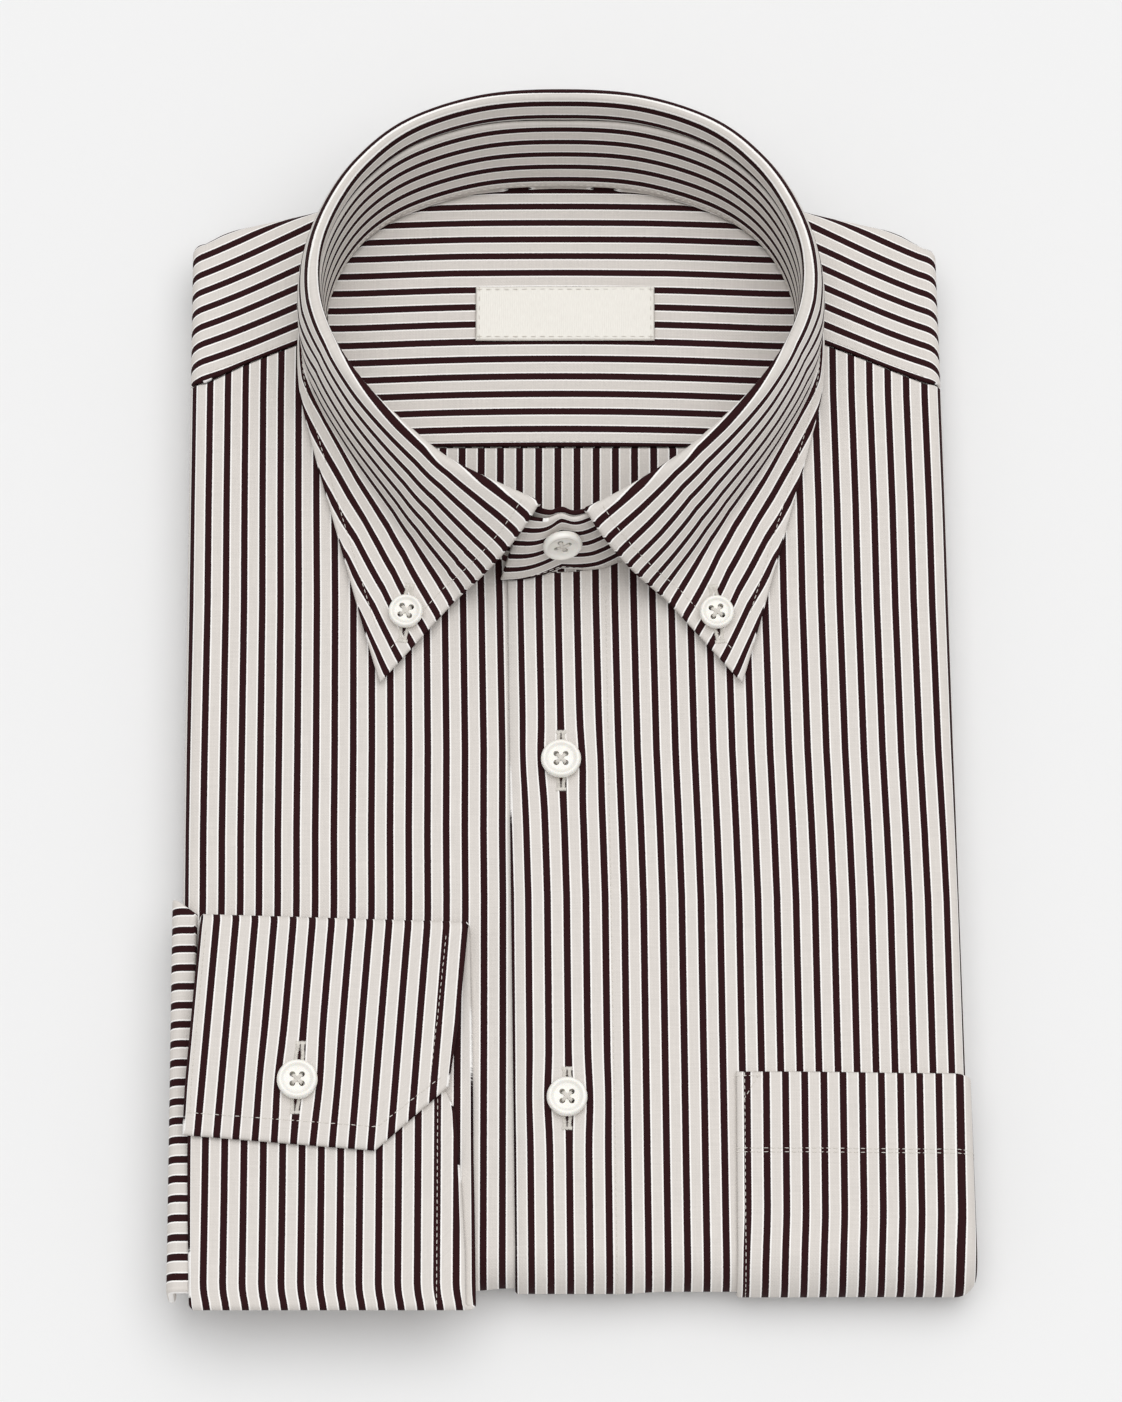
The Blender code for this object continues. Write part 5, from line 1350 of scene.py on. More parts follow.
def make_band():
    """The collar's stand: a band round the neck whose ends lap at the front."""
    last = FRONT_SECTION + STAND_OVERLAP
    sections = np.linspace(-last, last, BAND_SECTIONS + 1)
    outer, inner, height = [], [], []
    for t in sections:
        foot, crest = stand_line(t)
        normal = stand_normal(t) * COLLAR_CLOTH / 2
        shares = np.linspace(0.0, stand_top_share(t), BAND_ROWS)
        middle = np.array([mix(foot, crest, share) for share in shares])
        for grid, sign in ((outer, 1), (inner, -1)):
            line = middle + sign * normal
            line[0, 2] = foot[2]
            grid.append(line)
        height.append(shares * norm(crest - foot))
    outer, inner, height = np.array(outer), np.array(inner), np.array(height)
    lap = smooth((sections - BAND_LAP_SECTION) / BAND_LAP_RUN)[:, None]
    stripes = height / BAND_PITCH + mix(0.3, 0.7 - BAND_SLANT * outer[:, :, 0], lap)
    made = shell("collar_band", outer, inner, stripes, way_down(outer[:, 0]))
    inward = normals_of(inner)
    outward = -normals_of(outer)
    rows = np.arange(2.0, BAND_SECTIONS - 2.0)
    paths = [path_on_grid(inner, inward, rows, np.full(len(rows), 0.7))]
    lap = rows[(rows < BAND_LAP_ROWS) | (rows > BAND_SECTIONS - BAND_LAP_ROWS)]
    paths += [path_on_grid(outer, outward, part, np.full(len(part), 0.9)) for part in np.split(lap, [30])]
    stitches = sew("band_stitches", paths, seed=6)


def fall_grids():
    """The fall's outer and inner points, its outward directions, and each section's way from the crest."""
    sections = np.linspace(-FALL_END_SECTION, FALL_END_SECTION, FALL_SECTIONS + 1)
    middle = np.array([fall_section(t, FALL_STEPS) for t in sections])
    normals = normals_of(middle)
    steps = norm(np.diff(middle, axis=1), axis=2)
    way = np.hstack([np.zeros((len(middle), 1)), np.cumsum(steps, axis=1)])
    crest = len(INSIDE_SHARES) + FOLD_STEPS // 2
    way = way - way[:, crest : crest + 1]
    half = normals * COLLAR_CLOTH / 2
    return middle + half, middle - half, normals, way


FALL_STRIPES_SHARES = (0.0, 0.25, 0.5, 0.75, 1.0)
BACK_LAG, BACK_LAG_SECTIONS = (0.3, 0.0), (5.0, 7.0)  # in stripes, of the inside of the fold behind the neck
# Section of the collar, and the number of the stripe there at those shares of the way from crest to edge.
FALL_STRIPES = (
    (0.0, 2.8, 4.7, 6.7, 8.8, 10.9),
    (3.0, 2.7, 4.3, 6.1, 7.9, 9.7),
    (5.0, 2.65, 4.2, 5.95, 7.75, 9.5),
    (6.0, 2.5, 4.35, 6.2, 8.0, 9.75),
    (7.0, 2.4, 5.5, 7.5, 8.95, 10.45),
    (8.0, 2.05, 5.05, 7.45, 9.55, 11.3),
    (8.5, 1.9, 4.95, 7.55, 9.8, 11.7),
    (9.0, 1.75, 4.85, 7.75, 10.1, 12.25),
    (9.5, 1.65, 4.85, 8.0, 10.3, 12.6),
    (10.0, 1.3, 4.6, 7.9, 10.45, 13.1),
    (10.5, 0.65, 3.85, 7.45, 10.35, 13.4),
    (11.0, 0.05, 3.3, 7.0, 10.3, 13.6),
)


def fall_stripes(way):
    """Inside the fold the stripes keep their pitch; outside it they fan out towards the points."""
    sections = np.abs(np.linspace(-FALL_END_SECTION, FALL_END_SECTION, FALL_SECTIONS + 1))
    table = np.array(FALL_STRIPES)
    counted = np.array([np.interp(sections, table[:, 0], column) for column in table[:, 1:].T]).T
    outside = [np.interp(w / w[-1], FALL_STRIPES_SHARES, row) for w, row in zip(way, counted, strict=True)]
    lag = np.interp(sections, BACK_LAG_SECTIONS, BACK_LAG)[:, None]
    return np.where(way < 0, counted[:, :1] - lag + way / PITCH, outside)


def make_fall():
    """The collar's fall, with its points and the stitching along its free edges."""
    outer, inner, normals, way = fall_grids()
    made = shell("collar_leaf", outer, inner, fall_stripes(way), way_down(outer[:, 8]))
    columns = outer.shape[1]
    spacing = norm(np.gradient(outer, axis=1), axis=2)
    rows = np.arange(9.0, FALL_SECTIONS - 8.0)
    inset = np.array([COLLAR_STITCH / spacing[int(i), -4] for i in rows])
    paths = [path_on_grid(outer, normals, rows, columns - 1 - inset)]
    sections = norm(np.diff(outer, axis=0), axis=2)
    for side in (0, 1):
        numbers = np.arange(14.0, columns - 4.0)
        found = []
        for j in numbers:
            from_end = sections[:, int(j)] if side == 0 else sections[::-1, int(j)]
            count = float(np.interp(COLLAR_STITCH, np.cumsum(from_end), np.arange(1, len(from_end) + 1)))
            found.append(count if side == 0 else FALL_SECTIONS - count)
        paths.append(path_on_grid(outer, normals, np.array(found), numbers))
    stitches = sew("collar_stitches", paths, seed=7)


# ---- pocket, sleeve and cuff


def pocket_depth(u, v):
    return left_depth(u, v) - LAYER


def make_pocket():
    """The breast pocket, which goes round the side fold and the bottom fold with the front under it."""
    rows_v = np.concatenate([
        steps_between(POCKET_TOP_Y, BEND_Y),
        BEND_Y - BEND_LENGTH * np.linspace(0.0, POCKET_TURN, 14)[1:],
    ])
    rows_u = []
    for v in rows_v:
        y = max(v, BEND_Y)
        flat = np.linspace(POCKET_LEFT_X, roll_start_x(1, y), 36)
        rows_u.append(np.concatenate([flat, past_side(1, np.linspace(0.0, POCKET_TURN, 11)[1:], y)]))
    u = np.array(rows_u)
    v = np.broadcast_to(rows_v[:, None], u.shape)
    made = cloth("pocket", u, v, pocket_depth, pocket_stripes)
    down = steps_between(POCKET_TOP_Y - 1.0, BEND_Y - 0.6 * BEND_LENGTH)
    out = steps_between(POCKET_LEFT_X + 0.5, past_side(1, 0.6, -130.0))
    left = POCKET_LEFT_X + POCKET_STITCH
    paths = [path_on_pack(np.full(len(down), left), down, pocket_depth)]
    for y in (POCKET_HEM_Y, POCKET_HEM_Y + POCKET_HEM_ROWS):
        paths.append(path_on_pack(out, np.full(len(out), y), pocket_depth))
    for a, b in zip(POCKET_CORNER, POCKET_CORNER[1:]):
        leg = np.linspace(a, b, 8)
        paths.append(path_on_pack(POCKET_LEFT_X + leg[:, 0], POCKET_TOP_Y + leg[:, 1], pocket_depth))
    stitches = sew("pocket_stitches", paths, seed=8)


def sleeve_line(y, side_y, out):
    """Section of the sleeve, `out` from its middle: flat beside the cuff, then sharply down the side."""
    radius = SLEEVE_THICKNESS / 2
    start = CUFF_LEFT_X - 0.5
    high = fold(start, side_y, -(GAP + radius))[2]
    side = side_x(-1, side_y) - GAP - radius
    centre = side + SLEEVE_TURN_RADIUS
    low = np.interp(-y, (-SLEEVE_TURN_Y[0], -SLEEVE_TURN_Y[1]), (SLEEVE_LOW_Z, SLEEVE_END_LOW_Z))
    turn = SLEEVE_TURN_RADIUS + out
    a = np.linspace(0.0, math.pi / 2, 7)
    flat, down = evenly(5)[:-1], evenly(7)[1:]
    x = np.concatenate([mix(start, centre, flat), centre - turn * np.sin(a), side - out + 0.0 * down])
    level = high - SLEEVE_TURN_RADIUS
    z = np.concatenate([high + out + 0.0 * flat, level + turn * np.cos(a), mix(level, low, down)])
    slant = SLEEVE_SLANT * smooth((y - SLEEVE_TOP_Y) / SLEEVE_SLANT_LENGTH + 1)
    z = z - SLEEVE_TUCK * math.exp(-(((y - SLEEVE_TUCK_Y) / SLEEVE_TUCK_REACH) ** 2))
    return np.column_stack((x, y - slant * np.minimum(1.0, (x - side) / (start - side)), z))


def make_sleeve():
    """The sleeve shows as a strip round the left side fold: a flattened tube whose own folds are rounded."""
    radius = SLEEVE_THICKNESS / 2
    turns = np.linspace(0.12, math.pi / 2, 7)
    rounding = [(radius * (1 - math.cos(a)), radius * math.sin(a)) for a in turns]
    rows = [(SLEEVE_TOP_Y - inset, half) for inset, half in rounding]
    rows += [(y, radius) for y in steps_between(SLEEVE_TOP_Y - 3.0, SLEEVE_BOTTOM_Y + 3.0)]
    rows += [(SLEEVE_BOTTOM_Y + inset, half) for inset, half in rounding[::-1]]
    outer = np.array([sleeve_line(y, max(y, BEND_Y + 1.0), half) for y, half in rows])
    inner = np.array([sleeve_line(y, max(y, BEND_Y + 1.0), -half) for y, half in rows])
    along = norm(np.gradient(outer, axis=1), axis=2).cumsum(axis=1)
    stripes = sleeve_stripes(outer[:, :, 1])
    made = shell("sleeve", outer, inner, stripes, along)


def cuff_layer_z(layer, y):
    """Middle height of the cuff's back, lower front and flap, counted 0, 1, 2 from the shirt up."""
    base = top_z(CUFF_MIDDLE_X, np.maximum(y, BEND_Y + CUFF_BEND_CLEAR)) + CUFF_AIR + GAP
    return base + CUFF_CLOTH / 2 + layer * (CUFF_CLOTH + CUFF_GAP)


def flap_end_y(x):
    """The free edge of the flap, with its cut corner."""
    if x < CUFF_CUT_X:
        return mix(CUFF_FLAP_Y, CUFF_FLAP_CORNER_Y, (x - CUFF_LEFT_X) / (CUFF_CUT_X - CUFF_LEFT_X))
    return mix(CUFF_FLAP_CORNER_Y, CUFF_CUT_Y, (x - CUFF_CUT_X) / (CUFF_RIGHT_X - CUFF_CUT_X))


# Stretches of the cuff from the flap's end on: their first and last place in its line, and their points.
CUFF_STRETCHES = (
    ("flap", 0, 4, 36), ("top", 4, 8, 9), ("back", 8, 12, 34), ("bottom", 12, 16, 9), ("lower", 16, 19, 40),
)
CUFF_BOTTOM_START = 12.0
CUFF_ROWS = 64
CUFF_EDGE_STITCH = 1.9  # from the flap's left edge to its stitching


def cuff_line(x):
    """Middle line of the cuff in the plane of this x, as (y, z), and each point's place in the line."""
    share = (x - CUFF_LEFT_X) / (CUFF_RIGHT_X - CUFF_LEFT_X)
    top = CUFF_TOP_Y - CUFF_TOP_TURN - CUFF_TOP_DROP * share
    bottom = CUFF_BOTTOM_Y + CUFF_BOTTOM_TURN
    line, places = [], []
    for name, first, last, count in CUFF_STRETCHES:
        shares = np.linspace(0.0, 1.0, count, endpoint=name == "lower")
        if name == "flap":
            y = mix(flap_end_y(x), top, shares)
            z = cuff_layer_z(2, y)
        elif name == "back":
            y = mix(top, bottom, shares)
            z = cuff_layer_z(0, y)
        elif name == "lower":
            y = mix(bottom, CUFF_UNDER_END_Y, shares)
            z = cuff_layer_z(1, y)
        else:
            at, high, outward = (top, 2, 1) if name == "top" else (bottom, 1, -1)
            low_z, high_z = cuff_layer_z(0, at), cuff_layer_z(high, at)
            angle = math.pi * (0.5 - shares) if name == "top" else math.pi * (shares - 0.5)
            radius = (high_z - low_z) / 2
            y = at + outward * radius * np.cos(angle)
            z = (low_z + high_z) / 2 + radius * np.sin(angle)
        line.append(np.stack((y, z), axis=-1))
        places.append(mix(first, last, shares))
    return np.concatenate(line), np.concatenate(places)


def cuff_x(places, y, share):
    """Across the cuff: its front leans aside, and its back does less."""
    flap = 1 - smooth((places - CUFF_FLAP_END) / 4.0)
    lower = smooth((places - CUFF_BOTTOM_START) / 4.0)
    flap_left, flap_right, lower_left, back_right = (
        np.interp(y, CUFF_LEAN_Y, lean)
        for lean in (CUFF_FLAP_LEFT_LEAN, CUFF_FLAP_RIGHT_LEAN, CUFF_LOWER_LEFT_LEAN, CUFF_BACK_RIGHT_LEAN)
    )
    left = CUFF_LEFT_X + flap_left * flap + lower_left * lower
    right = CUFF_RIGHT_X + mix(back_right, flap_right, flap)
    return mix(left, mix(right, np.interp(y, CUFF_UNDER_EDGE_Y, CUFF_UNDER_EDGE_X), lower), share)


def cuff_grid():
    """The cuff's middle points, in rows across and columns along it; their outward directions and stripes."""
    rows, stripes = [], []
    for share in evenly(CUFF_ROWS):
        line, places = cuff_line(mix(CUFF_LEFT_X, CUFF_RIGHT_X, share))
        x = cuff_x(places, line[:, 0], share)
        rows.append(np.column_stack((x, line)))
        stripes.append(cuff_stripes(x, line[:, 0], places))
    middle = np.array(rows)
    tangent = np.gradient(middle[:, :, 1:], axis=1)
    tangent /= norm(tangent, axis=2, keepdims=True)
    outward = np.stack((np.zeros(tangent.shape[:2]), -tangent[:, :, 1], tangent[:, :, 0]), axis=-1)
    return middle, outward, np.array(stripes)


def make_cuff():
    middle, outward, stripes = cuff_grid()
    half = outward * CUFF_CLOTH / 2
    outer, inner = middle + half, middle - half
    along = norm(np.gradient(middle, axis=1), axis=2).cumsum(axis=1)
    made = shell("cuff", outer, inner, stripes, along)
    flap_end = CUFF_STRETCHES[0][3]
    lower_start = sum(stretch[3] for stretch in CUFF_STRETCHES[:4])
    rows = len(middle) - 1

    def down_cuff(columns, x):
        """A path down the cuff at these columns of its grid, where its x is `x`."""
        first, last = middle[0, columns, 0], middle[-1, columns, 0]
        across = np.clip((x - first) / (last - first), 0.0, 1.0) * rows
        return path_on_grid(outer, outward, across, columns.astype(float))

    column_step = norm(outer[24, 1] - outer[24, 0])
    across = np.linspace(1.5, rows - 2.5, 60)
    paths = [path_on_grid(outer, outward, across, np.full(60, CUFF_STITCH / column_step))]
    on_flap = np.arange(4, flap_end - 1)
    flap_y = middle[0, on_flap, 1]
    paths.append(down_cuff(on_flap, 12 * FLAP_PITCH + FLAP_START_X + flap_lean(flap_y)))
    paths.append(down_cuff(on_flap, middle[0, on_flap, 0] + CUFF_EDGE_STITCH))
    on_lower = np.arange(lower_start, outer.shape[1] - 4)
    paths.append(down_cuff(on_lower, 12 * LOWER_PITCH + LOWER_START_X + np.zeros(len(on_lower))))
    stitches = sew("cuff_stitches", paths, seed=9)
    x, y = CUFF_BUTTON

    def place(flat):
        height = cuff_layer_z(2, flat[:, 1] + y) + CUFF_CLOTH / 2 + THREAD_LIFT
        points = np.column_stack((flat[:, 0] + x + FLAP_LEAN * flat[:, 1], flat[:, 1] + y + 1.0, height))
        return points, np.tile((0.0, 0.0, 1.0), (len(points), 1))

    hole = sew_buttonhole("buttonhole_cuff", CUFF_BUTTONHOLE, place, 10)


# ---- hidden layers

CORE_COLUMNS, CORE_ROWS = 48, 60
CORNER_STEPS = evenly(9)[1:-1]
CAP_INSET = 16.0
BOTTOM_CORNER_INSET, BOTTOM_CORNER_ROWS = 6.6, 4
OPENING_HALF_WIDTH, OPENING_HALF_LENGTH = 87.0, 80.0
OPENING_DEPTH = 4.2
CORE_TURNS = (0.0, 0.5, 1.0, 1.4, 1.8, 2.2)  # angles down the upper half's side, and down the lower half's
CORE_LOW_TURNS = (0.0, 0.25, 0.5, 0.8, 1.1, 1.35, 1.57, 1.57, 1.8, 2.1, 2.35, 2.6, 2.9, math.pi)
LAYER_SPLIT = 0.25  # half the air between the two layers that show at the shoulders


def core_place(i, j, inset=0.0):
    """A place of the pack's top in a grid of columns and rows, as far in from the folds as `inset`."""
    share = i / CORE_COLUMNS
    x = mix(roll_start_x(-1, 0.0) + inset, roll_start_x(1, 0.0) - inset, share)
    y = mix(BEND_Y + inset, roll_start_y(x) - inset, j / CORE_ROWS)
    inset += BOTTOM_CORNER_INSET * max(0.0, 1 - j / BOTTOM_CORNER_ROWS)
    x = mix(roll_start_x(-1, y) + inset, roll_start_x(1, y) - inset, share)
    return x, y


def by_neck(x, y):
    return math.hypot(x / OPENING_HALF_WIDTH, (y - NECK_CENTRE_Y) / OPENING_HALF_LENGTH) < 1.0


def core_depth(x, y):
    """The hidden layers lie deeper where the inside of the back comes between them and the outer cloth."""
    return OPENING_DEPTH if by_neck(x, y) else CORE_DEPTH


def border_places():
    """Round the grid's border: (i, j, outward, how much of a bottom, how much of a shoulder it is)."""
    up = [(CORE_COLUMNS, j, (1.0, 0.0), 0.0, 0.0) for j in range(CORE_ROWS + 1)]
    over = [(i, CORE_ROWS, (0.0, 1.0), 0.0, 1.0) for i in range(CORE_COLUMNS, -1, -1)]
    down = [(0, j, (-1.0, 0.0), 0.0, 0.0) for j in range(CORE_ROWS, -1, -1)]
    back = [(i, 0, (0.0, -1.0), 1.0, 0.0) for i in range(CORE_COLUMNS + 1)]
    found = []
    for run, following in zip((up, over, down, back), (over, down, back, up), strict=True):
        found += run
        i, j, a, low_a, top_a = run[-1]
        _, _, b, low_b, top_b = following[0]
        for s in CORNER_STEPS:
            angle = s * math.pi / 2
            outward = (
                math.cos(angle) * a[0] + math.sin(angle) * b[0],
                math.cos(angle) * a[1] + math.sin(angle) * b[1],
            )
            found.append((i, j, outward, mix(low_a, low_b, s), mix(top_a, top_b, s)))
    return found


def blended(points, others, share):
    """Each point part of the way to its fellow in another outline."""
    return [tuple(mix(np.array(p), np.array(q), share)) for p, q in zip(points, others, strict=True)]


def core_section(x, y, bottom, shoulder):
    """(outward, z) down the side of the hidden layers, for a place on the border of the pack's top."""
    z = top_z(x, y)
    radius = roll_radius(z)
    reach = radius - core_depth(x, y)
    split_top = BEND_RADIUS + SPLIT / 2 + CORE_DEPTH
    low_reach = radius - CORE_DEPTH_UNDER
    split_low = mix(BEND_RADIUS - SPLIT / 2 - CORE_DEPTH, BEND_RADIUS - SPLIT / 2, shoulder)
    tuck = -SIDE_TUCK - 0.8
    sides = [(reach * math.sin(a), z - radius + reach * math.cos(a)) for a in CORE_TURNS]
    sides += [(0.0, split_top), (tuck, split_top), (tuck, split_low)]
    lower = []
    middle = (split_low + CORE_DEPTH_UNDER) / 2
    for a in CORE_LOW_TURNS:
        lower.append((low_reach * math.sin(a) - 0.3, middle + (split_low - middle) * math.cos(a)))
    layered = []
    layers = ((split_low, split_low * 0.5 + LAYER_SPLIT), (split_low * 0.5 - LAYER_SPLIT, 0.0))
    for setback, (high, low) in zip(LAYER_SETBACKS, layers, strict=True):
        half = (high - low) / 2
        start = radius - setback - half
        for a in np.linspace(0.0, math.pi, 7):
            layered.append((start + half * math.sin(a), (high + low) / 2 + half * math.cos(a)))
    sides += blended(lower, layered, shoulder)
    under = CORE_DEPTH_UNDER
    sides += [(mix(-3.0, -HEM_INSET, shoulder), mix(under, 0.0, shoulder))]
    sides += [(mix(-3.5, -HEM_INSET - 0.3, shoulder), under)]
    bend = BEND_RADIUS - CORE_DEPTH_UNDER
    turns = np.concatenate([np.linspace(0.0, 1.4, 8), np.linspace(1.6, math.pi, len(sides) - 10)])
    single = [(bend * math.sin(a), BEND_RADIUS + bend * math.cos(a)) for a in turns]
    single[0] = (0.0, z - CORE_DEPTH)
    single += [(-3.0, under), (-3.5, under)]
    return blended(sides, single, bottom)


def core_top_z(x, y):
    """The hidden layers stay under the outer cloth, and under the inner one where the neck is open."""
    if by_neck(x, y):
        return min(inner_z(x, y) - CLOTH - GAP - 0.4, top_z(x, y) - OPENING_DEPTH)
    return top_z(x, y) - CORE_DEPTH


def make_layers():
    """The layers hidden in the pack, as one rounded body with the edges of two of them at the shoulders."""
    verts, faces = [], []
    border = border_places()
    rings = []
    for i, j, outward, bottom, shoulder in border:
        x, y = core_place(i, j)
        ring = []
        for out, z in core_section(x, y, bottom, shoulder):
            ring.append(len(verts))
            verts.append((x + outward[0] * out, y + outward[1] * out, z))
        rings.append(ring)
    for a, b in zip(rings, rings[1:] + rings[:1], strict=True):
        faces += [[a[k], b[k], b[k + 1], a[k + 1]] for k in range(len(a) - 1)]
    for inset, end, height in ((0.0, 0, core_top_z), (CAP_INSET, -1, lambda x, y: CORE_DEPTH_UNDER)):
        grid = {}
        for i in range(CORE_COLUMNS + 1):
            for j in range(CORE_ROWS + 1):
                x, y = core_place(i, j, inset)
                grid[i, j] = len(verts)
                on_border = i in (0, CORE_COLUMNS) or j in (0, CORE_ROWS)
                z = top_z(x, y) - core_depth(x, y) if on_border and inset == 0 else height(x, y)
                verts.append((x, y, float(z)))
        for i in range(CORE_COLUMNS):
            for j in range(CORE_ROWS):
                faces.append([grid[i, j], grid[i + 1, j], grid[i + 1, j + 1], grid[i, j + 1]])
        if inset:
            following = zip(border, border[1:] + border[:1], rings, rings[1:] + rings[:1], strict=True)
            for (i, j, *_), (m, n, *_), a, b in following:
                faces.append(list(dict.fromkeys((a[end], b[end], grid[m, n], grid[i, j]))))
    points = np.array(verts)
    uv = np.column_stack((points[:, 0] / PITCH, (points[:, 1] - points[:, 2]) / PITCH))
    made = new_mesh_object("folded_layers_cloth", points, faces, material_for("inside"), uv=uv)
    finish_piece(made, "inside", "folded_layers")


# ---- buttons

BUTTON_SIDES, HOLE_SIDES = 64, 16
# From the axis out and back: r as a share of the radius, z as a share of the thickness.
BUTTON_PROFILE = (
    (0.0, 0.0), (0.78, 0.0), (0.91, 0.07), (0.975, 0.22), (1.0, 0.46), (0.99, 0.66), (0.955, 0.86),
    (0.905, 0.965), (0.85, 1.0), (0.80, 0.985), (0.755, 0.925), (0.71, 0.84), (0.665, 0.77),
    (0.60, 0.725), (0.45, 0.70), (0.0, 0.70),
)


def turned(profile, sides):
    """Points and faces of a profile of (r, z) turned about z; it starts and ends on the axis."""
    turns = np.arange(sides) * math.tau / sides
    points = [(0.0, 0.0, profile[0][1])]
    for r, z in profile[1:-1]:
        points += [(r * math.cos(a), r * math.sin(a), z) for a in turns]
    points.append((0.0, 0.0, profile[-1][1]))
    faces = []
    starts = [1 + n * sides for n in range(len(profile) - 2)]
    for k in range(sides):
        m = (k + 1) % sides
        faces.append([0, starts[0] + m, starts[0] + k])
        faces += [[a + k, a + m, b + m, b + k] for a, b in zip(starts, starts[1:])]
        faces.append([starts[-1] + k, starts[-1] + m, len(points) - 1])
    return np.array(points), faces


def facing(points, centre, normal, turn=0.0):
    """Points of a piece that stands on z = 0, moved so that it lies at `centre` facing along `normal`."""
    normal = unit(np.array(normal))
    across = unit(np.cross((0.0, 1.0, 0.0), normal))
    along = np.cross(normal, across)
    c, s = math.cos(turn), math.sin(turn)
    x, y, z = np.asarray(points).T[:, :, None]
    return np.array(centre) + (c * x - s * y) * across + (s * x + c * y) * along + z * normal


STRAND_POINTS, STRAND_SIDES, STRAND_RADIUS = 9, 6, 0.17
STRAND_OFFSETS = (-0.28, 0.0, 0.28)  # three strands lie beside each other
STRAND_RISES = (0.34, 0.44)  # the second pair of holes is sewn over the first
STRAND_SINK = 0.5  # how far its ends go into the holes
PIN_REACH = 2.0  # how far what cuts a hole stands out of the button


def thread_strand(start, end, rise):
    """A bowed strand of thread from one hole to another, as a tube of points and faces."""
    count, sides = STRAND_POINTS, STRAND_SIDES
    run = end - start
    beside = np.array((-run[1], run[0], 0.0)) / norm(run[:2])
    points = []
    for s in evenly(count):
        sink = STRAND_SINK if s in (0.0, 1.0) else 0.0
        middle = mix(start, end, s) + np.array((0.0, 0.0, rise * (math.sin(math.pi * s) ** 0.5) - sink))
        for a in np.arange(sides) * math.tau / sides:
            around = math.cos(a) * beside + np.array((0.0, 0.0, math.sin(a)))
            points.append(middle + STRAND_RADIUS * around)
    faces = []
    for i in range(count - 1):
        for k in range(sides):
            m = (k + 1) % sides
            faces.append([i * sides + k, i * sides + m, (i + 1) * sides + m, (i + 1) * sides + k])
    faces += [list(range(sides))[::-1], [(count - 1) * sides + k for k in range(sides)]]
    return np.array(points), faces


def joined(meshes):
    """Points and faces of several meshes as those of one."""
    faces, first = [], 0
    for points, own_faces in meshes:
        faces += [[first + k for k in face] for face in own_faces]
        first += len(points)
    return np.concatenate([points for points, _ in meshes]), faces


def make_button(name, radius, centre, normal, turn=0.0):
    """A turned button with four holes, and the crossed thread that holds it."""
    t = BUTTON_THICKNESS

    def laid(piece, mesh, material):
        return new_mesh_object(piece, facing(mesh[0], centre, normal, turn), mesh[1], material)

    body = turned([(radius * r, t * z) for r, z in BUTTON_PROFILE], BUTTON_SIDES)
    button = laid(name + "_resin", body, material_for("button"))
    spread = THREAD_HOLE_SPREAD * math.sqrt(2)
    holes = [(spread * math.cos(a), spread * math.sin(a)) for a in np.arange(4) * math.pi / 2 + math.pi / 4]
    low, high = -PIN_REACH, t + PIN_REACH
    pin = [(0.0, low), (THREAD_HOLE_RADIUS, low), (THREAD_HOLE_RADIUS, high), (0.0, high)]
    points, faces = turned(pin, HOLE_SIDES)
    pins = laid(name + "_pins", joined([(points + np.array((x, y, 0.0)), faces) for x, y in holes]), None)
    cut = button.modifiers.new("thread_holes", "BOOLEAN")
    cut.operation = "DIFFERENCE"
    cut.object = pins
    apply_modifiers(button)
    button.data.set_sharp_from_angle(angle=math.radians(35))
    bpy.data.objects.remove(pins, do_unlink=True)
    finish_piece(button, "button", name)
    strands = []
    floor = BUTTON_PROFILE[-1][1] * t
    for rise, (a, b) in zip(STRAND_RISES, ((0, 2), (1, 3)), strict=True):
        start, end = np.array((*holes[a], floor)), np.array((*holes[b], floor))
        across = np.array((-(end - start)[1], (end - start)[0], 0.0)) / norm(end - start)
        for offset in STRAND_OFFSETS:
            strands.append(thread_strand(start + across * offset, end + across * offset, rise))
    thread = laid(name.replace("button", "button_thread"), joined(strands), material_for("thread"))
    finish_piece(thread, "thread")


TIP_SECTIONS = np.linspace(9.0, 11.0, 41)
TIP_STEPS = 24


def fall_point(x, y, side):
    """A point of the fall's outside over a place near its tip, and its normal."""

    def outside(t):
        return np.array(fall_section(side * t, TIP_STEPS)[len(INSIDE_SHARES) :])

    best = None
    for t in TIP_SECTIONS:
        line = outside(t)
        distance = np.hypot(line[:, 0] - x, line[:, 1] - y)
        k = int(distance.argmin())
        if best is None or distance[k] < best[0]:
            best = (distance[k], t, k)
    _, t, k = best
    here, beside = outside(t), outside(t - 0.2)
    normal = unit(np.cross(here[k + 1] - here[k - 1], beside[k] - here[k]))
    return here[k], normal if normal[2] > 0 else -normal


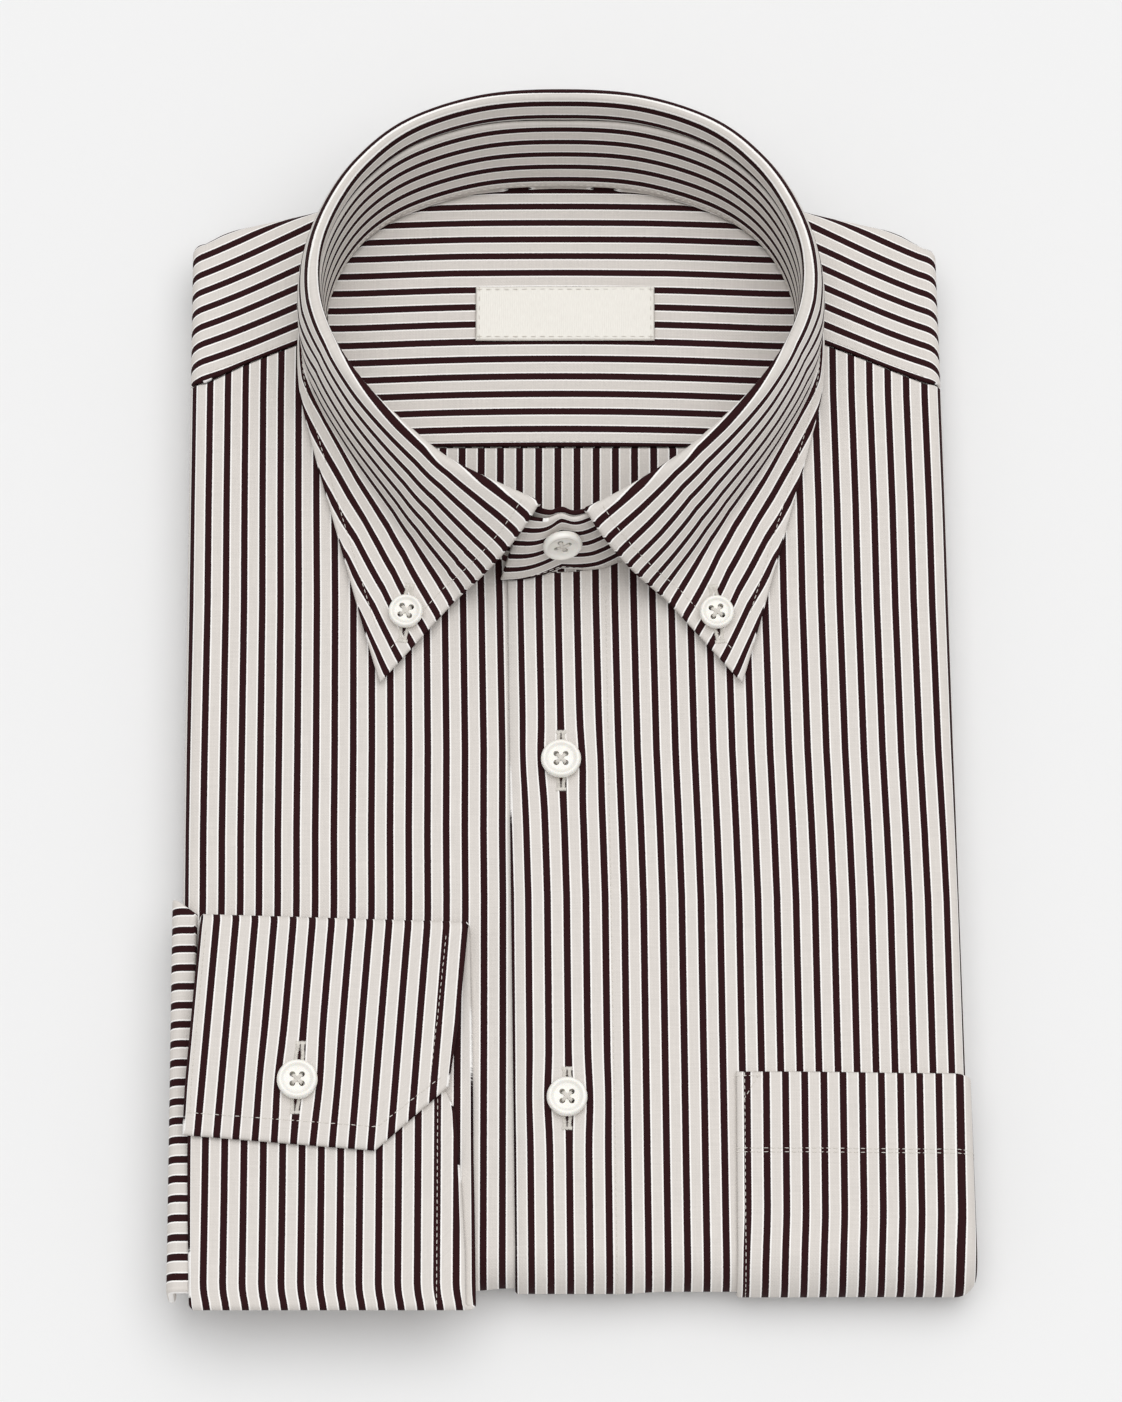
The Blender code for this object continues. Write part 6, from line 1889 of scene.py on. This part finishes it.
def make_buttons():
    for n, (x, y) in enumerate(FRONT_BUTTONS, 1):
        z = outer_top(x, y) + GAP + BUTTON_AIR
        make_button(f"button_front_{n}", BUTTON_RADIUS, (x, y, z), (0.0, 0.0, 1.0))
    for side, name in ((1, "button_collar_left"), (-1, "button_collar_right")):
        point, normal = fall_point(side * COLLAR_BUTTON[0], COLLAR_BUTTON[1], side)
        centre = point + normal * (COLLAR_CLOTH / 2 + GAP + COLLAR_BUTTON_AIR)
        make_button(name, COLLAR_BUTTON_RADIUS, centre, normal, side * COLLAR_BUTTON_TURN)
        surface = point + normal * (COLLAR_CLOTH / 2 + THREAD_LIFT)

        def place(flat, surface=surface, normal=normal, side=side):
            flat = np.column_stack((flat, np.zeros(len(flat))))
            points = facing(flat, surface, normal, side * COLLAR_BUTTONHOLE_TURN)
            return points, np.tile(normal, (len(points), 1))

        sew_buttonhole(name.replace("button", "buttonhole"), COLLAR_BUTTONHOLE, place, 11 + side)
    x, y = CUFF_BUTTON
    z = cuff_layer_z(2, y) + CUFF_CLOTH / 2 + GAP + BUTTON_AIR
    make_button("button_cuff", BUTTON_RADIUS, (x, y, z), (0.0, 0.0, 1.0))
    foot, crest = stand_line(FRONT_SECTION)
    normal = stand_normal(FRONT_SECTION)
    centre = mix(foot, crest, NECK_BUTTON_SHARE) + normal * (COLLAR_CLOTH / 2 + STAND_LAP_STEP / 2 + GAP)
    make_button("button_neck", BUTTON_RADIUS, centre, normal)


# ---- stage


def look_rotation(back):
    """Rotation of a light or camera whose own back points along `back`, kept upright to the shirt's +Y."""
    back = unit(np.array(back))
    right = unit(np.cross((0.0, 1.0, 0.0), back))
    return Matrix(np.column_stack((right, np.cross(back, right), back)).tolist()).to_euler()


def make_light(name, direction, width, strength):
    """A broad even light that comes from `direction`, as wide across as the angle `width`."""
    data = bpy.data.lights.new(name, "SUN")
    data.angle = width
    data.energy = strength
    light = bpy.data.objects.new(name, data)
    bpy.context.scene.collection.objects.link(light)
    light.rotation_euler = look_rotation(direction)


def make_stage():
    """A pale floor, soft lights and the camera."""
    scene = bpy.context.scene
    settings = scene.shirt_stage
    mesh = bpy.data.meshes.new("floor")
    corners = [(x * FLOOR_HALF, y * FLOOR_HALF, FLOOR_Z) for x, y in ((-1, -1), (1, -1), (1, 1), (-1, 1))]
    mesh.from_pydata(corners, [], [(0, 1, 2, 3)])
    floor = bpy.data.objects.new("floor", mesh)
    scene.collection.objects.link(floor)
    mesh.materials.append(make_studio_paper())
    make_light("overhead_light", OVERHEAD_FROM, settings.light_width, settings.overhead_light)
    make_light("back_light", BACK_FROM, settings.light_width, settings.back_light)
    world = bpy.data.worlds.new("soft_room")
    world.use_nodes = True
    background = world.node_tree.nodes["Background"]
    background.inputs["Color"].default_value = (1.0, 1.0, 1.0, 1.0)
    background.inputs["Strength"].default_value = settings.room_light
    scene.world = world
    scene.view_settings.view_transform = "Standard"
    data = bpy.data.cameras.new("camera")
    data.lens = CAMERA_LENS
    data.clip_end = 10.0
    camera = bpy.data.objects.new("camera", data)
    scene.collection.objects.link(camera)
    back = np.array((0.0, -math.cos(CAMERA_ELEVATION), math.sin(CAMERA_ELEVATION)))
    camera.location = (np.array(LOOK_AT) + CAMERA_DISTANCE * back) * MM
    camera.rotation_euler = look_rotation(back)
    scene.camera = camera


# ---- settings, operators and panel


def length_property(name, millimetres, description):
    return FloatProperty(
        name=name, description=description, default=millimetres * MM, min=0.0, subtype="DISTANCE",
        unit="LENGTH", precision=5,
    )


def angle_property(name, radians, description):
    return FloatProperty(
        name=name, description=description, default=radians, subtype="ANGLE", unit="ROTATION"
    )


def strength_property(name, strength, description):
    return FloatProperty(name=name, description=description, default=strength)


def colour_property(name, hex_colour, description):
    return FloatVectorProperty(
        name=name, description=description, default=linear(hex_colour), subtype="COLOR", size=3,
        min=0.0, max=1.0,
    )


class ShirtCloth(bpy.types.PropertyGroup):
    """The striped cloth."""

    stripe_pitch: length_property("Stripe pitch", PITCH, "From one stripe to the next")
    stripe_width: length_property("Stripe width", 1.98, "Width of a dark stripe")
    line_width: length_property("Line width", 0.36, "Width of the white line on each side of a stripe")
    ground_colour: colour_property("Ground", "ddd7d1", "Colour of the cloth between the stripes")
    stripe_colour: colour_property("Stripe", "301719", "Colour of the middle of a stripe")
    stripe_edge_colour: colour_property("Stripe edge", "220e11", "Colour of the edges of a stripe")
    line_colour: colour_property("Line", "fffcf9", "Colour of the lines beside a stripe")


class ShirtSewing(bpy.types.PropertyGroup):
    """The sewing."""

    stitch_spacing: length_property("Stitch spacing", 1.9, "From the middle of one stitch to the next")
    stitch_length: length_property("Stitch length", 1.5, "Length of the thread that shows in a stitch")
    thread_width: length_property("Thread width", 0.25, "Width of the sewing thread, drawn a little full")
    unevenness: angle_property("Unevenness", 0.08, "How far a stitch may lean")
    thread_colour: colour_property("Thread", "e4dfd7", "Colour of the sewing thread")


class ShirtButtons(bpy.types.PropertyGroup):
    """The buttons."""

    colour: colour_property("Button", "faf7f0", "Colour of the buttons")


class ShirtStage(bpy.types.PropertyGroup):
    """The studio."""

    floor_colour: colour_property("Floor", "f0f0f0", "Colour of the floor")
    overhead_light: strength_property("Overhead light", 1.5, "Strength of the overhead light")
    back_light: strength_property("Back light", 0.2, "Strength of the light behind the collar")
    light_width: angle_property(
        "Light width", math.radians(70.0), "How wide the lights are, seen from the shirt"
    )
    room_light: strength_property("Room light", 0.53, "Strength of the light all round")


SETTINGS = {
    "shirt_cloth": ShirtCloth,
    "shirt_sewing": ShirtSewing,
    "shirt_buttons": ShirtButtons,
    "shirt_stage": ShirtStage,
}


class ShirtOperator:
    """What the shirt's operators share: they make a piece, and an error stops the script."""

    bl_options = {"REGISTER", "UNDO"}

    def execute(self, context):
        type(self).make()
        return {"FINISHED"}


class SHIRT_OT_layers(ShirtOperator, bpy.types.Operator):
    """Makes the layers hidden in the pack"""

    bl_idname = "shirt.make_layers"
    bl_label = "Hidden layers"
    make = staticmethod(make_layers)


class SHIRT_OT_fronts(ShirtOperator, bpy.types.Operator):
    """Makes the two fronts, their placket stitching and buttonholes"""

    bl_idname = "shirt.make_fronts"
    bl_label = "Fronts"
    make = staticmethod(make_fronts)


class SHIRT_OT_yoke(ShirtOperator, bpy.types.Operator):
    """Makes the outer yoke over the shoulders"""

    bl_idname = "shirt.make_yoke"
    bl_label = "Yoke"
    make = staticmethod(make_yoke)


class SHIRT_OT_inside(ShirtOperator, bpy.types.Operator):
    """Makes the inner yoke and the inside of the back, seen through the neck"""

    bl_idname = "shirt.make_inside"
    bl_label = "Inside of the neck"
    make = staticmethod(make_inside)


class SHIRT_OT_label(ShirtOperator, bpy.types.Operator):
    """Makes the bare label inside the neck"""

    bl_idname = "shirt.make_label"
    bl_label = "Label"
    make = staticmethod(make_label)


class SHIRT_OT_band(ShirtOperator, bpy.types.Operator):
    """Makes the band that the collar stands on"""

    bl_idname = "shirt.make_band"
    bl_label = "Collar band"
    make = staticmethod(make_band)


class SHIRT_OT_fall(ShirtOperator, bpy.types.Operator):
    """Makes the collar's fall with its two points"""

    bl_idname = "shirt.make_fall"
    bl_label = "Collar leaf"
    make = staticmethod(make_fall)


class SHIRT_OT_pocket(ShirtOperator, bpy.types.Operator):
    """Makes the breast pocket"""

    bl_idname = "shirt.make_pocket"
    bl_label = "Pocket"
    make = staticmethod(make_pocket)


class SHIRT_OT_sleeve(ShirtOperator, bpy.types.Operator):
    """Makes the strip of sleeve at the side"""

    bl_idname = "shirt.make_sleeve"
    bl_label = "Sleeve"
    make = staticmethod(make_sleeve)


class SHIRT_OT_cuff(ShirtOperator, bpy.types.Operator):
    """Makes the turned cuff and its buttonhole"""

    bl_idname = "shirt.make_cuff"
    bl_label = "Cuff"
    make = staticmethod(make_cuff)


class SHIRT_OT_buttons(ShirtOperator, bpy.types.Operator):
    """Makes the buttons, the thread that holds them, and the collar's buttonholes"""

    bl_idname = "shirt.make_buttons"
    bl_label = "Buttons"
    make = staticmethod(make_buttons)


class SHIRT_OT_stage(ShirtOperator, bpy.types.Operator):
    """Makes the floor, the lights and the camera"""

    bl_idname = "shirt.make_stage"
    bl_label = "Stage"
    make = staticmethod(make_stage)


OPERATORS = (
    SHIRT_OT_layers, SHIRT_OT_fronts, SHIRT_OT_yoke, SHIRT_OT_inside, SHIRT_OT_label, SHIRT_OT_band,
    SHIRT_OT_fall, SHIRT_OT_pocket, SHIRT_OT_sleeve, SHIRT_OT_cuff, SHIRT_OT_buttons, SHIRT_OT_stage,
)


class SHIRT_PT_panel(bpy.types.Panel):
    """Lists the shirt's pieces and settings"""

    bl_idname = "SHIRT_PT_panel"
    bl_label = "Folded shirt"
    bl_space_type = "VIEW_3D"
    bl_region_type = "UI"
    bl_category = "Shirt"

    def draw(self, context):
        for name, group in SETTINGS.items():
            box = self.layout.box()
            for key in group.__annotations__:
                box.prop(getattr(context.scene, name), key)
        for operator in OPERATORS:
            self.layout.operator(operator.bl_idname)


CLASSES = (*SETTINGS.values(), *OPERATORS, SHIRT_PT_panel)


def register():
    for cls in CLASSES:
        bpy.utils.register_class(cls)
    for name, group in SETTINGS.items():
        setattr(bpy.types.Scene, name, PointerProperty(type=group))


def unregister():
    for name in SETTINGS:
        delattr(bpy.types.Scene, name)
    for cls in reversed(CLASSES):
        bpy.utils.unregister_class(cls)


def main():
    register()
    for operator in OPERATORS:
        getattr(bpy.ops.shirt, operator.bl_idname.split(".")[1])()


if __name__ == "__main__":
    main()
